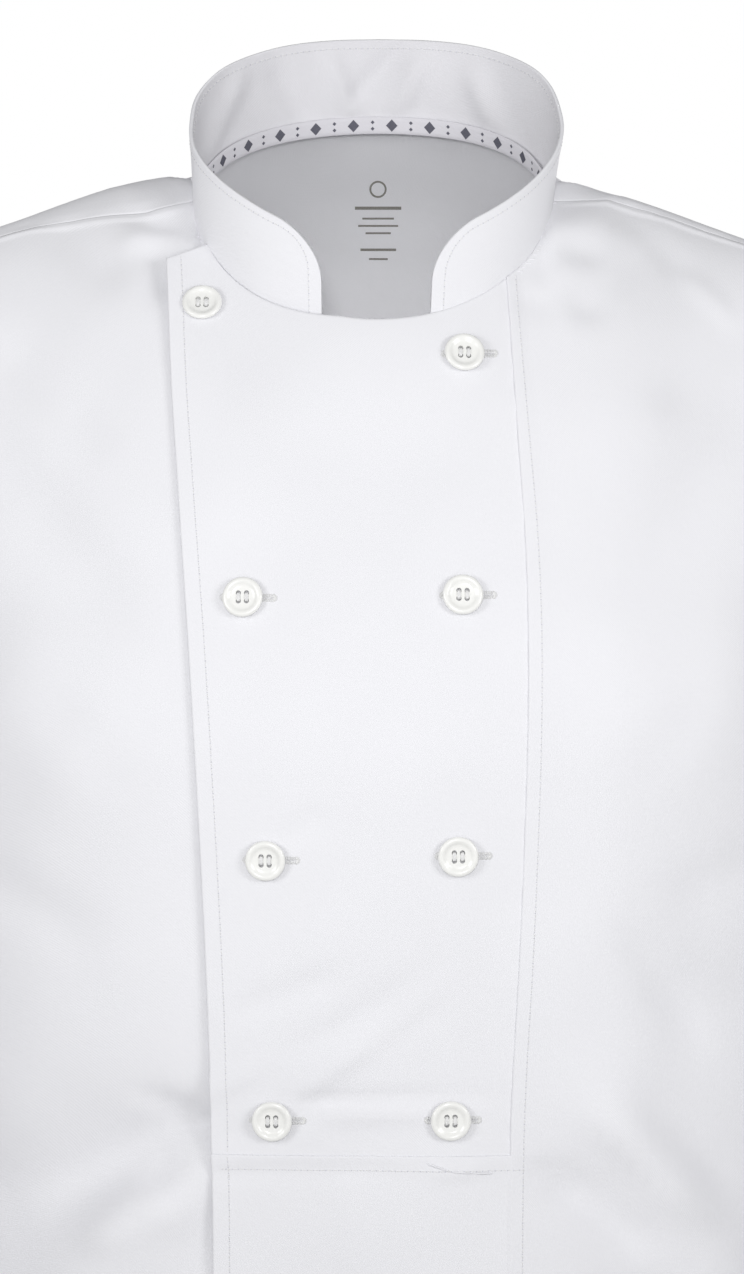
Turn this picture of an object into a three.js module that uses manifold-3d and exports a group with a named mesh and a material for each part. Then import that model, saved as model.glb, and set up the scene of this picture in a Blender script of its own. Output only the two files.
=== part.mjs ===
// A double-breasted chef jacket, size M, in the hollow form it has when worn, with no wearer.
// Millimetres, +Z up. The front faces -Y and the wearer's left is +X.
// The origin is midway between the two points where the shoulder seams meet the collar.
import * as THREE from "three";
import { mergeVertices } from "three/addons/utils/BufferGeometryUtils.js";
import Module from "manifold-3d";

const { clamp, degToRad, lerp, smoothstep } = THREE.MathUtils;

// Cloth
const CLOTH = 1.6;
const COLLAR_CLOTH = 2.4;
const TAPE_CLOTH = 0.9;
const SEAM_GAP = 0.3;
const LAYER_GAP = 0.8;

// Body form
const UNDERARM_Z = -250;
const HEM_Z = -740;
const SHOULDER_FORM_HALF = 245;
const RIDGE_TOP = 11;
const SHOULDER_SLOPE = 0.36;
const SLOPE_FROM = 103;
const SLOPE_EASE = 18;
const SHOULDER_WIDENING = 1.5;
const NECK_HALF = 85;
const NAPE_RISE = 34;
const BODY = [
  { z: -740, half: 221, front: 145, back: 127 },
  { z: -620, half: 215, front: 140, back: 119 },
  { z: -520, half: 208, front: 134, back: 111 },
  { z: -430, half: 205, front: 131, back: 107 },
  { z: -330, half: 209, front: 134, back: 111 },
  { z: -250, half: 212, front: 136, back: 116 },
];
// roundness is the exponent of the plan's curve, rise and crest those of the curve up to the shoulder
const FRONT = { side: -1, depth: "front", roundness: 2.35, rise: 1.65, crest: 1.45 };
const BACK = { side: 1, depth: "back", roundness: 2.5, rise: 3, crest: 1.8 };

// Neckline, as a loop round the neck: 0 degrees is the centre front and 180 the centre back
const NECK_CENTRE_Y = -14;
const NECK_HALF_DEPTH = 62;
const NECK_SIDE_Z = -3;
const NECK_FALL = 43;
const NECK_SAG = 9;
const RIGHT_NECK_DROP = 5;
const SHOULDER_SEAM_DEG = 86;

// Shoulder seam, which lies a little in front of the ridge
const TIP_X = 228;
const SEAM_AHEAD_AT_NECK = 18.3;
const SEAM_AHEAD_AT_TIP = 4;

// Armhole: x at each share of the way up from the underarm to the ridge
const ARMHOLE = [
  { up: 0, x: 212 },
  { up: 0.02, x: 209.6 },
  { up: 0.06, x: 206 },
  { up: 0.14, x: 200 },
  { up: 0.3, x: 193 },
  { up: 0.5, x: 192 },
  { up: 0.7, x: 200 },
  { up: 0.86, x: 213 },
  { up: 1, x: 228 },
];

// Front edges, seen from the front. The bib lies in the corner of the left front
const BIB_BOTTOM_Z = -423;
const OVERLAP_EDGE = [
  { z: -740, x: -71 },
  { z: -423, x: -72 },
  { z: -300, x: -76 },
  { z: -176, x: -83.5 },
  { z: -29, x: -96 },
];
const BIB_SEAM = [
  { z: -740, x: 60 },
  { z: -423, x: 60 },
  { z: -300, x: 65.5 },
  { z: -176, x: 68 },
  { z: -90, x: 64.5 },
  { z: -38, x: 61 },
];
const OVERLAP_CORNER_Z = -29;
const OVERLAP_STEP_X = -78;
const CORNER_OVER = 3.8;
const UNDERLAP_SINK = 1;
const BIB_OVER_SEAM = 1.5;
const UNDERLAP_BELOW_NECK = 4;
const LAP_NECK_DEG = 14;
const LAP_FADE_FROM_X = 102;
const LAP_FADE_TO_X = 146;

// Folds of the body cloth, each a soft ridge or trough from one point to another, seen from the
// front. A fold rises and fades over FOLD_TAPER of its length, and starts a little before its ends
const FOLD_TAPER = 0.3;
const FOLD_BEYOND = 0.1;
const FRONT_FOLDS = [
  { name: "right chest drag", x0: -186, z0: -100, x1: -104, z1: -196, wide: 20, high: -4.5 },
  { name: "right breast swell", x0: -178, z0: -196, x1: -112, z1: -268, wide: 34, high: 3.5 },
  { name: "left chest drag", x0: 188, z0: -78, x1: 104, z1: -178, wide: 22, high: -4.5 },
  { name: "left breast swell", x0: 176, z0: -178, x1: 118, z1: -262, wide: 34, high: 3.5 },
  { name: "right waist pull", x0: -84, z0: -408, x1: -205, z1: -470, wide: 24, high: -8 },
  { name: "right waist ridge", x0: -84, z0: -424, x1: -176, z1: -548, wide: 22, high: 7 },
  { name: "right skirt flute", x0: -128, z0: -560, x1: -142, z1: -760, wide: 30, high: 8 },
  { name: "left waist pull", x0: 208, z0: -360, x1: 116, z1: -352, wide: 20, high: -6 },
  { name: "left waist ridge", x0: 96, z0: -378, x1: 176, z1: -520, wide: 20, high: 7 },
  { name: "left waist trough", x0: 104, z0: -404, x1: 126, z1: -540, wide: 24, high: -5 },
  { name: "left skirt flute", x0: 138, z0: -560, x1: 146, z1: -760, wide: 30, high: 8 },
  { name: "middle skirt hollow", x0: 20, z0: -600, x1: 24, z1: -760, wide: 36, high: -4 },
];
const BACK_FOLDS = [
  { name: "right blade drag", x0: -186, z0: -120, x1: -96, z1: -205, wide: 24, high: -4 },
  { name: "left blade drag", x0: 186, z0: -104, x1: 92, z1: -196, wide: 24, high: -4 },
  { name: "right waist pull", x0: -204, z0: -372, x1: -70, z1: -420, wide: 22, high: -7 },
  { name: "left waist pull", x0: 206, z0: -384, x1: 64, z1: -446, wide: 22, high: -7 },
  { name: "small of the back", x0: -96, z0: -452, x1: 88, z1: -470, wide: 26, high: -5 },
  { name: "right skirt flute", x0: -104, z0: -470, x1: -122, z1: -760, wide: 28, high: 9 },
  { name: "middle skirt flute", x0: 6, z0: -500, x1: 2, z1: -760, wide: 30, high: 8 },
  { name: "left skirt flute", x0: 110, z0: -488, x1: 126, z1: -760, wide: 28, high: 9 },
];

// Sleeve: its inner and outer lines seen from the front, its middle seen from the side, and its half depth
const SLEEVE = [
  { along: 0, innerX: 212, innerZ: -250, outerX: 228, outerZ: -36, y: 0, deep: 62 },
  { along: 0.05, innerX: 222, innerZ: -249, outerX: 250, outerZ: -43, y: 0, deep: 61.5 },
  { along: 0.11, innerX: 229, innerZ: -255, outerX: 272, outerZ: -63, y: 0, deep: 66 },
  { along: 0.18, innerX: 233, innerZ: -267, outerX: 292, outerZ: -98, y: 1, deep: 69 },
  { along: 0.26, innerX: 235.5, innerZ: -284, outerX: 308, outerZ: -146, y: 2, deep: 70 },
  { along: 0.34, innerX: 238, innerZ: -307, outerX: 321, outerZ: -200, y: 3, deep: 69 },
  { along: 0.43, innerX: 240.5, innerZ: -340, outerX: 333, outerZ: -258, y: 3, deep: 66 },
  { along: 0.54, innerX: 249, innerZ: -390, outerX: 345, outerZ: -328, y: 1, deep: 62 },
  { along: 0.67, innerX: 263, innerZ: -454, outerX: 356, outerZ: -410, y: -8, deep: 58 },
  { along: 0.82, innerX: 280, innerZ: -534, outerX: 368, outerZ: -504, y: -24, deep: 54 },
  { along: 1, innerX: 300, innerZ: -634, outerX: 384, outerZ: -614, y: -46, deep: 50 },
];
const ARMHOLE_REACH = 0.26;
const SLEEVE_LENGTH = 620;
const SLEEVE_GIRTH = 390;
// round is 0 degrees at the inner line, 90 in front, 180 at the outer line and 270 behind
const SLEEVE_FOLDS = [
  { name: "cap drag in front", along0: 0.09, round0: 95, along1: 0.24, round1: 30, wide: 17, high: -5 },
  { name: "cap drag behind", along0: 0.09, round0: 262, along1: 0.26, round1: 330, wide: 17, high: -5 },
  { name: "upper arm ridge", along0: 0.2, round0: 60, along1: 0.42, round1: 150, wide: 16, high: 4 },
  { name: "elbow crease 1", along0: 0.5, round0: 20, along1: 0.56, round1: 135, wide: 13, high: -6 },
  { name: "elbow crease 2", along0: 0.58, round0: 10, along1: 0.52, round1: 120, wide: 12, high: -5 },
  { name: "elbow crease 3", along0: 0.62, round0: 40, along1: 0.66, round1: 150, wide: 14, high: -5 },
  { name: "elbow swell", along0: 0.55, round0: 240, along1: 0.6, round1: 300, wide: 26, high: 5 },
  { name: "forearm drag", along0: 0.7, round0: 250, along1: 0.86, round1: 170, wide: 16, high: -5 },
  { name: "wrist fold 1", along0: 0.88, round0: 30, along1: 0.84, round1: 130, wide: 13, high: -4 },
  { name: "wrist fold 2", along0: 0.92, round0: 190, along1: 0.88, round1: 290, wide: 13, high: 4 },
];

// Collar: a stand band with rounded front ends
const COLLAR_END_DEG = 16.5;
const COLLAR_CORNER = 22;
const COLLAR_LIFT = { left: 4.7, right: 3.4, blend: 0.3 };
const COLLAR_AHEAD = { behind: 0.3, left: 2, right: -1.6 };
const COLLAR_FLARE = 3;
const COLLAR_LEAN = 2.5;
const COLLAR_RIM = [
  { turn: 0, z: -17 },
  { turn: 15, z: -15 },
  { turn: 30, z: -8 },
  { turn: 45, z: 2 },
  { turn: 60, z: 12.5 },
  { turn: 75, z: 23 },
  { turn: 90, z: 34 },
  { turn: 105, z: 46 },
  { turn: 120, z: 57 },
  { turn: 135, z: 65.5 },
  { turn: 150, z: 71 },
  { turn: 165, z: 73.5 },
  { turn: 180, z: 74 },
];
const COLLAR_COLUMNS = 34;
const COLLAR_EVENNESS = 0.94;
const COLLAR_ROWS = 4;

// Neck tape, sewn inside over the back neck seam
const TAPE_FROM_DEG = 98;
const TAPE_GAP = 0.5;
const TAPE_BELOW = 2.4;
const TAPE_ABOVE = 5.2;
const TAPE_COLUMNS = 22;

// Buttons
const BUTTON_RADIUS = 9;
const BUTTON_THICK = 3.1;
const BUTTON_HOLE_RADIUS = 1.15;
const BUTTON_HOLE_PITCH = 3.6;
const BUTTON_SEGMENTS = 16;
const BUTTON_SEAT = 0.4;
const BUTTON_BACK_RADIUS = 7.4;
const BUTTON_RIM_OUTSIDE = 8.1;
const BUTTON_RIM_INSIDE = 6.7;
const BUTTON_DISH_RADIUS = 5.4;
const BUTTON_DISH_DEPTH = 1.1;
const BUTTONS = [
  { column: "right", x: -78.7, z: -47 },
  { column: "right", x: -58.4, z: -174 },
  { column: "right", x: -48.2, z: -289.5 },
  { column: "right", x: -45.6, z: -407 },
  { column: "left", x: 39.4, z: -68 },
  { column: "left", x: 38.8, z: -172.7 },
  { column: "left", x: 36.9, z: -287.4 },
  { column: "left", x: 33.8, z: -406.4 },
];

// Grid steps
const SKIRT_ROWS = 12;
const WAIST_ROWS = 7;
const CHEST_ROWS = 14;
const CHEST_CROWDING = 1.35;
const BIB_NECK_STEPS = 8;
const SIDE_NECK_STEPS = 4;
const SHOULDER_STEPS = 7;
const BACK_NECK_STEPS = 12;
const SLEEVE_STEPS = 19;
const SLEEVE_CROWDING = 1.15;

// Where the top of a column is looked for on the form
const TOP_UP_FROM = 0.3;
const TOP_UP_TO = 1.6;
const TOP_UP_STEP = 0.001;

const cloth = new THREE.MeshStandardMaterial({ color: 0xf1f1f4, roughness: 0.86, metalness: 0 });
const tapeCloth = new THREE.MeshStandardMaterial({ color: 0xdcdbe0, roughness: 0.8, metalness: 0 });
const plastic = new THREE.MeshStandardMaterial({ color: 0xf6f6f2, roughness: 0.3, metalness: 0 });

const wasm = await Module();
wasm.setup();

// The value of a table's column where another column has the value at, on a smooth curve through the rows
function read(rows, by, key, at) {
  const last = rows.length - 1;
  const place = clamp(at, rows[0][by], rows[last][by]);
  let i = 0;
  while (i < last - 1 && place > rows[i + 1][by]) i += 1;
  const slope = (k) => {
    const a = rows[Math.max(k - 1, 0)];
    const b = rows[Math.min(k + 1, last)];
    return (b[key] - a[key]) / (b[by] - a[by]);
  };
  const step = rows[i + 1][by] - rows[i][by];
  const t = (place - rows[i][by]) / step;
  const rest = 1 - t;
  return (
    rows[i][key] * rest * rest * (1 + 2 * t) +
    rows[i + 1][key] * t * t * (1 + 2 * rest) +
    slope(i) * step * t * rest * rest -
    slope(i + 1) * step * t * t * rest
  );
}

// The height of the shoulder ridge, or of the cloth behind the neck, over the point x. It is level
// beside the neck and eases into the slope of the shoulder
function ridge(shape, x) {
  const neck = clamp(1 - (x / NECK_HALF) ** 2, 0, 1);
  const rise = shape === BACK ? NAPE_RISE * neck ** 1.5 : 0;
  const past = Math.abs(x) - SLOPE_FROM;
  return RIDGE_TOP - (SHOULDER_SLOPE * (past + Math.hypot(past, SLOPE_EASE))) / 2 + rise;
}

// The form's half width. up is millimetres below the underarm where it is negative, and the
// share of the way from the underarm to the ridge where it is positive
function halfWidth(up) {
  const z = UNDERARM_Z + Math.min(up, 0);
  const widened = clamp(up, 0, 1) ** SHOULDER_WIDENING;
  return lerp(read(BODY, "z", "half", z), SHOULDER_FORM_HALF, widened);
}

// A point of the form. turn is the angle round it, 0 in the middle and 90 degrees at the left side.
// Where up passes 1 the point comes down on the other side of the ridge
function formPoint(shape, turn, up) {
  if (up > 1) return formPoint(shape === FRONT ? BACK : FRONT, turn, 2 - up);
  const power = 2 / shape.roundness;
  const x = halfWidth(up) * Math.sign(turn) * Math.abs(Math.sin(turn)) ** power;
  const share = Math.sin(clamp(up, 0, 1) * Math.PI * 0.5);
  const z = UNDERARM_Z + Math.min(up, 0) + (ridge(shape, x) - UNDERARM_Z) * share;
  const depth = read(BODY, "z", shape.depth, UNDERARM_Z + Math.min(up, 0));
  const arch = Math.max(1 - share ** shape.rise, 0) ** (1 / shape.crest);
  return new THREE.Vector3(x, shape.side * depth * Math.max(Math.cos(turn), 0) ** power * arch, z);
}

// The turn at which the form has the given x
function turnAt(shape, x, up) {
  const share = clamp(Math.abs(x) / halfWidth(up > 1 ? 2 - up : up), 0, 1);
  const round = up > 1 ? (shape === FRONT ? BACK : FRONT).roundness : shape.roundness;
  return Math.sign(x) * Math.asin(share ** (round / 2));
}

// The up at which the form, followed at one x, passes nearest to a point
function upNear(shape, point) {
  let best = 0;
  let nearest = Infinity;
  for (let up = TOP_UP_FROM; up < TOP_UP_TO; up += TOP_UP_STEP) {
    const gap = formPoint(shape, turnAt(shape, point.x, up), up).distanceTo(point);
    if (gap < nearest) [best, nearest] = [up, gap];
  }
  return best;
}

// A fold's height at a share of the way along it and a distance aside
function foldHeight(fold, along, aside) {
  const rise = smoothstep(along, -FOLD_BEYOND, FOLD_TAPER);
  const fall = 1 - smoothstep(along, 1 - FOLD_TAPER, 1 + FOLD_BEYOND);
  return fold.high * rise * fall * Math.exp(-((aside / fold.wide) ** 2));
}

// How far the folds lift the cloth at a point
function foldLift(folds, x, z) {
  let lift = 0;
  for (const fold of folds) {
    const run = new THREE.Vector2(fold.x1 - fold.x0, fold.z1 - fold.z0);
    const to = new THREE.Vector2(x - fold.x0, z - fold.z0);
    const along = to.dot(run) / run.lengthSq();
    const aside = to.cross(run) / run.length();
    lift += foldHeight(fold, along, aside);
  }
  return lift;
}

// The point of the neckline at an angle round the neck
function neckPoint(degrees) {
  const angle = degToRad(degrees);
  const ahead = Math.cos(angle);
  const right = degrees < 0 && degrees > -90 ? Math.sin(-2 * angle) ** 1.5 : 0;
  return new THREE.Vector3(
    NECK_HALF * Math.sin(angle),
    NECK_CENTRE_Y - NECK_HALF_DEPTH * ahead,
    NECK_SIDE_Z - NECK_FALL * ahead - NECK_SAG * ahead * ahead - RIGHT_NECK_DROP * right,
  );
}

// The point of the shoulder seam at x
function shoulderPoint(x) {
  const out = (Math.abs(x) - NECK_HALF) / (TIP_X - NECK_HALF);
  const ahead = lerp(SEAM_AHEAD_AT_NECK, SEAM_AHEAD_AT_TIP, out);
  let low = 0.5;
  let high = 1;
  for (let i = 0; i < 30; i += 1) {
    const up = (low + high) / 2;
    const y = formPoint(FRONT, turnAt(FRONT, x, up), up).y;
    if (y < -ahead) low = up;
    else high = up;
  }
  return formPoint(FRONT, turnAt(FRONT, x, low), low);
}

// The turn of an edge that is drawn in the front view, at a height of the form
function edgeTurn(shape, rows, hand, up) {
  let x = hand * rows[rows.length - 1].x;
  for (let i = 0; i < 6; i += 1) {
    const z = formPoint(shape, turnAt(shape, x, up), up).z;
    x = hand * read(rows, "z", "x", z);
  }
  return turnAt(shape, x, up);
}

// The turn of the side seam or the armhole
function sideTurn(shape, hand, up) {
  if (up <= 0) return hand * Math.PI * 0.5;
  return turnAt(shape, hand * read(ARMHOLE, "up", "x", up > 1 ? 2 - up : up), up);
}

// A column of a panel: it starts from a share of the way between two edges and ends at its top point
function makeColumn(shape, top, low, edges) {
  const up = upNear(shape, top);
  const turn = turnAt(shape, top.x, up);
  const [from, to] = edges.map((edge) => edge(up));
  const pull = top.clone().sub(formPoint(shape, turn, up));
  return { shape, low, high: (turn - from) / (to - from), up, pull, edges };
}

// The point of a column at a level
function columnPoint(column, level) {
  const { shape, edges, pull } = column;
  const up = level.share === undefined ? level.up : column.up * level.share;
  const blend = smoothstep(level.share ?? 0, 0, 1);
  const [from, to] = edges.map((edge) => edge(up));
  const turn = lerp(from, to, lerp(column.low, column.high, blend));
  const point = formPoint(shape, turn, up);
  const across = formPoint(shape, turn + 0.01, up).sub(formPoint(shape, turn - 0.01, up));
  const rise = formPoint(shape, turn, up + 0.004).sub(formPoint(shape, turn, up - 0.004));
  const normal = across.cross(rise).normalize().multiplyScalar(-shape.side);
  const folds = shape === FRONT || up > 1 ? FRONT_FOLDS : BACK_FOLDS;
  point.addScaledVector(normal, foldLift(folds, point.x, point.z));
  return point.addScaledVector(pull, smoothstep(level.share ?? 0, 0.6, 1));
}

// The levels of a panel, from the hem to its top edge
function panelLevels() {
  const levels = [];
  const bib = BIB_BOTTOM_Z - UNDERARM_Z;
  const hem = HEM_Z - UNDERARM_Z;
  for (let i = 0; i < SKIRT_ROWS; i += 1) levels.push({ up: lerp(hem, bib, i / SKIRT_ROWS) });
  for (let i = 0; i < WAIST_ROWS; i += 1) levels.push({ up: lerp(bib, 0, i / WAIST_ROWS) });
  for (let i = 0; i <= CHEST_ROWS; i += 1) {
    levels.push({ share: 1 - (1 - i / CHEST_ROWS) ** CHEST_CROWDING });
  }
  return levels;
}
const LEVELS = panelLevels();

// The x of each column's top on a shoulder
const shoulderXs = [];
for (let i = 1; i <= SHOULDER_STEPS; i += 1) {
  shoulderXs.push(lerp(NECK_HALF, TIP_X, i / SHOULDER_STEPS));
}

// The y of the plain form at a point's x and z
function formDepth({ x, z }) {
  const up = (Math.asin((z - UNDERARM_Z) / (ridge(FRONT, x) - UNDERARM_Z)) * 2) / Math.PI;
  return formPoint(FRONT, turnAt(FRONT, x, up), up).y;
}

// The y of the bib's top corner, which lies on the right front beyond the neckline
function cornerDepth(x) {
  return pointInView(frontGrid(-1), x, OVERLAP_CORNER_Z).y - CORNER_OVER;
}

// The point of a front's grid that is seen at x and z from the front
function pointInView(grid, x, z) {
  const seen = new THREE.Vector3(x, z, 0);
  const flat = ({ x: across, z: height }) => new THREE.Vector3(across, height, 0);
  const share = new THREE.Vector3();
  for (let i = 0; i < grid.length - 1; i += 1) {
    for (let j = 0; j < grid[0].length - 1; j += 1) {
      const [a, b, c, d] = [grid[i][j], grid[i][j + 1], grid[i + 1][j + 1], grid[i + 1][j]];
      for (const corners of [[a, b, c], [a, c, d]]) {
        const hit = THREE.Triangle.getBarycoord(seen, ...corners.map(flat), share);
        if (!hit || Math.min(share.x, share.y, share.z) < -1e-6) continue;
        const point = new THREE.Vector3();
        corners.forEach((corner, k) => point.addScaledVector(corner, share.getComponent(k)));
        return point;
      }
    }
  }
  throw new Error(`no cloth is seen at ${x}, ${z}`);
}

// One front, with its overlap: hand is 1 for the wearer's left front and -1 for the right one
function frontGrid(hand) {
  const overlap = (up) => edgeTurn(FRONT, OVERLAP_EDGE, hand, up);
  const seam = (up) => edgeTurn(FRONT, BIB_SEAM, hand, up);
  const side = (up) => sideTurn(FRONT, hand, up);
  const seamTop = BIB_SEAM[BIB_SEAM.length - 1].x;
  const seamDegrees = THREE.MathUtils.radToDeg(Math.asin(seamTop / NECK_HALF));
  const stepDegrees = THREE.MathUtils.radToDeg(Math.asin(OVERLAP_STEP_X / NECK_HALF));
  const neck = (degrees) => {
    const point = neckPoint(hand * degrees);
    const free = smoothstep(-degrees, 0, LAP_NECK_DEG);
    point.z += hand > 0 ? BIB_OVER_SEAM * free : -UNDERLAP_BELOW_NECK * free;
    return point;
  };
  const columns = [];
  const corner = read(OVERLAP_EDGE, "z", "x", OVERLAP_CORNER_Z);
  const inBib = BIB_NECK_STEPS + 1;
  const cornerTop = new THREE.Vector3(hand * corner, 0, OVERLAP_CORNER_Z);
  cornerTop.y = hand > 0 ? cornerDepth(corner) : formDepth(cornerTop) + UNDERLAP_SINK;
  columns.push(makeColumn(FRONT, cornerTop, 0, [overlap, seam]));
  for (let i = 0; i < BIB_NECK_STEPS; i += 1) {
    const degrees = lerp(stepDegrees, seamDegrees, i / BIB_NECK_STEPS);
    columns.push(makeColumn(FRONT, neck(degrees), (i + 1) / inBib, [overlap, seam]));
  }
  const inSide = SIDE_NECK_STEPS + SHOULDER_STEPS;
  for (let i = 0; i <= SIDE_NECK_STEPS; i += 1) {
    const degrees = lerp(seamDegrees, SHOULDER_SEAM_DEG, i / SIDE_NECK_STEPS);
    columns.push(makeColumn(FRONT, neck(degrees), i / inSide, [seam, side]));
  }
  shoulderXs.forEach((x, i) => {
    const low = (SIDE_NECK_STEPS + 1 + i) / inSide;
    columns.push(makeColumn(FRONT, shoulderPoint(hand * x), low, [seam, side]));
  });
  return LEVELS.map((level) => columns.map((column) => columnPoint(column, level)));
}

// The back, from the wearer's right side to the left one
function backGrid() {
  const right = (up) => sideTurn(BACK, -1, up);
  const left = (up) => sideTurn(BACK, 1, up);
  const tops = [];
  for (const x of [...shoulderXs].reverse()) tops.push(shoulderPoint(-x));
  for (let i = 0; i <= BACK_NECK_STEPS; i += 1) {
    tops.push(neckPoint(lerp(360 - SHOULDER_SEAM_DEG, SHOULDER_SEAM_DEG, i / BACK_NECK_STEPS)));
  }
  for (const x of shoulderXs) tops.push(shoulderPoint(x));
  const columns = tops.map((top, i) =>
    makeColumn(BACK, top, i / (tops.length - 1), [right, left]),
  );
  return LEVELS.map((level) => columns.map((column) => columnPoint(column, level)));
}

// The outward normals of a grid. A ring grid closes on itself along its rows
function gridNormals(grid, ring = false) {
  const rows = grid.length;
  const columns = grid[0].length;
  const column = (j) => (ring ? (j + columns) % columns : clamp(j, 0, columns - 1));
  return grid.map((row, i) =>
    row.map((_, j) => {
      const along = row[column(j + 1)].clone().sub(row[column(j - 1)]);
      const above = grid[Math.min(i + 1, rows - 1)][j];
      const rise = above.clone().sub(grid[Math.max(i - 1, 0)][j]);
      return along.cross(rise).normalize();
    }),
  );
}

// A grid moved out along its normals, by a number or by a function of the point
function movedOut(grid, normals, amount) {
  return grid.map((row, i) =>
    row.map((point, j) => {
      const by = typeof amount === "function" ? amount(point, i, j) : amount;
      return point.clone().addScaledVector(normals[i][j], by);
    }),
  );
}

// Moves a line of a grid's points towards the next line, so that a seam keeps its gap
function drawBack(grid, edge, by = SEAM_GAP / 2) {
  const rows = grid.length;
  const columns = grid[0].length;
  const lines = {
    bottom: [...Array(columns).keys()].map((j) => [0, j, 1, j]),
    top: [...Array(columns).keys()].map((j) => [rows - 1, j, rows - 2, j]),
    first: [...Array(rows).keys()].map((i) => [i, 0, i, 1]),
    last: [...Array(rows).keys()].map((i) => [i, columns - 1, i, columns - 2]),
  };
  for (const [i, j, k, l] of lines[edge]) {
    const towards = grid[k][l].clone().sub(grid[i][j]).normalize();
    grid[i][j].addScaledVector(towards, by);
  }
  return grid;
}

// A closed wall between two grids of points. keep says which cells are cloth
function wallGeometry(outer, inner, { keep = () => true, ring = false } = {}) {
  const rows = outer.length;
  const columns = outer[0].length;
  const cells = ring ? columns : columns - 1;
  const position = [...outer.flat(), ...inner.flat()].flatMap((p) => [p.x, p.y, p.z]);
  const index = [];
  const at = (face, i, j) => (face * rows + i) * columns + (j % columns);
  const kept = (i, j) => {
    const column = ring ? (j + cells) % cells : j;
    return i >= 0 && i < rows - 1 && column >= 0 && column < cells && keep(i, column);
  };
  const quad = (a, b, c, d) => index.push(a, b, c, a, c, d);
  for (let i = 0; i < rows - 1; i += 1) {
    for (let j = 0; j < cells; j += 1) {
      if (!kept(i, j)) continue;
      quad(at(0, i, j), at(0, i, j + 1), at(0, i + 1, j + 1), at(0, i + 1, j));
      quad(at(1, i, j), at(1, i + 1, j), at(1, i + 1, j + 1), at(1, i, j + 1));
      if (!kept(i - 1, j)) quad(at(1, i, j), at(1, i, j + 1), at(0, i, j + 1), at(0, i, j));
      if (!kept(i + 1, j)) {
        quad(at(0, i + 1, j), at(0, i + 1, j + 1), at(1, i + 1, j + 1), at(1, i + 1, j));
      }
      if (!kept(i, j - 1)) quad(at(0, i, j), at(0, i + 1, j), at(1, i + 1, j), at(1, i, j));
      if (!kept(i, j + 1)) {
        quad(at(1, i, j + 1), at(1, i + 1, j + 1), at(0, i + 1, j + 1), at(0, i, j + 1));
      }
    }
  }
  const geometry = new THREE.BufferGeometry();
  geometry.setAttribute("position", new THREE.Float32BufferAttribute(position, 3));
  geometry.setIndex(volumeOf(position, index) < 0 ? index.reverse() : index);
  geometry.computeVertexNormals();
  return geometry;
}

// The signed volume inside a set of triangles
function volumeOf(position, index) {
  const corner = (k) => new THREE.Vector3().fromArray(position, 3 * index[k]);
  let sum = 0;
  for (let k = 0; k < index.length; k += 3) {
    sum += corner(k).dot(corner(k + 1).cross(corner(k + 2)));
  }
  return sum / 6;
}

function named(name, geometry, material) {
  const mesh = new THREE.Mesh(geometry, material);
  mesh.name = name;
  return mesh;
}

// How far the left front lies over the right one: on it in the overlap, and down to the form beyond it
function overLift(point) {
  const beside = 1 - smoothstep(point.x, LAP_FADE_FROM_X, LAP_FADE_TO_X);
  const below = 1 - smoothstep(point.z, -20, -1);
  return (CLOTH + LAYER_GAP) * beside * (point.x > 70 ? below : 1);
}

function makeRightFront() {
  const grid = frontGrid(-1).map((row) => [...row].reverse());
  const normals = gridNormals(grid);
  const outer = movedOut(grid, normals, CLOTH);
  for (const wall of [outer, grid]) {
    drawBack(wall, "first");
    drawBack(wall, "top");
  }
  return named("front_right", wallGeometry(outer, grid), cloth);
}

// The left front is an L round the bib. Both come from one grid, so the bib's edges fit the seam
function makeLeftFront() {
  const grid = frontGrid(1);
  const normals = gridNormals(grid);
  const inner = movedOut(grid, normals, overLift);
  const outer = movedOut(grid, normals, (point) => overLift(point) + CLOTH);
  const bibRow = SKIRT_ROWS;
  const bibColumn = BIB_NECK_STEPS + 1;
  const bibPart = (wall) => wall.slice(bibRow).map((row) => row.slice(0, bibColumn + 1));
  const copy = (wall) => wall.map((row) => row.map((point) => point.clone()));
  const [bibOuter, bibInner] = [bibPart(copy(outer)), bibPart(copy(inner))];
  for (const wall of [bibOuter, bibInner]) {
    drawBack(wall, "last");
    drawBack(wall, "bottom");
  }
  for (const wall of [outer, inner]) {
    for (let i = bibRow; i < wall.length; i += 1) {
      const towards = wall[i][bibColumn + 1].clone().sub(wall[i][bibColumn]).normalize();
      wall[i][bibColumn].addScaledVector(towards, SEAM_GAP / 2);
    }
    for (let j = 0; j <= bibColumn; j += 1) {
      const towards = wall[bibRow - 1][j].clone().sub(wall[bibRow][j]).normalize();
      wall[bibRow][j].addScaledVector(towards, SEAM_GAP / 2);
    }
    drawBack(wall, "last");
    drawBack(wall, "top");
  }
  const keep = (i, j) => i < bibRow || j >= bibColumn;
  return [
    named("front_left", wallGeometry(outer, inner, { keep }), cloth),
    named("bib", wallGeometry(bibOuter, bibInner), cloth),
  ];
}

function makeBack() {
  const grid = backGrid();
  const normals = gridNormals(grid).map((row) => row.map((normal) => normal.negate()));
  const outer = movedOut(grid, normals, CLOTH);
  for (const wall of [outer, grid]) {
    drawBack(wall, "first");
    drawBack(wall, "last");
    drawBack(wall, "top");
  }
  return named("back", wallGeometry(outer, grid), cloth);
}

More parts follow.
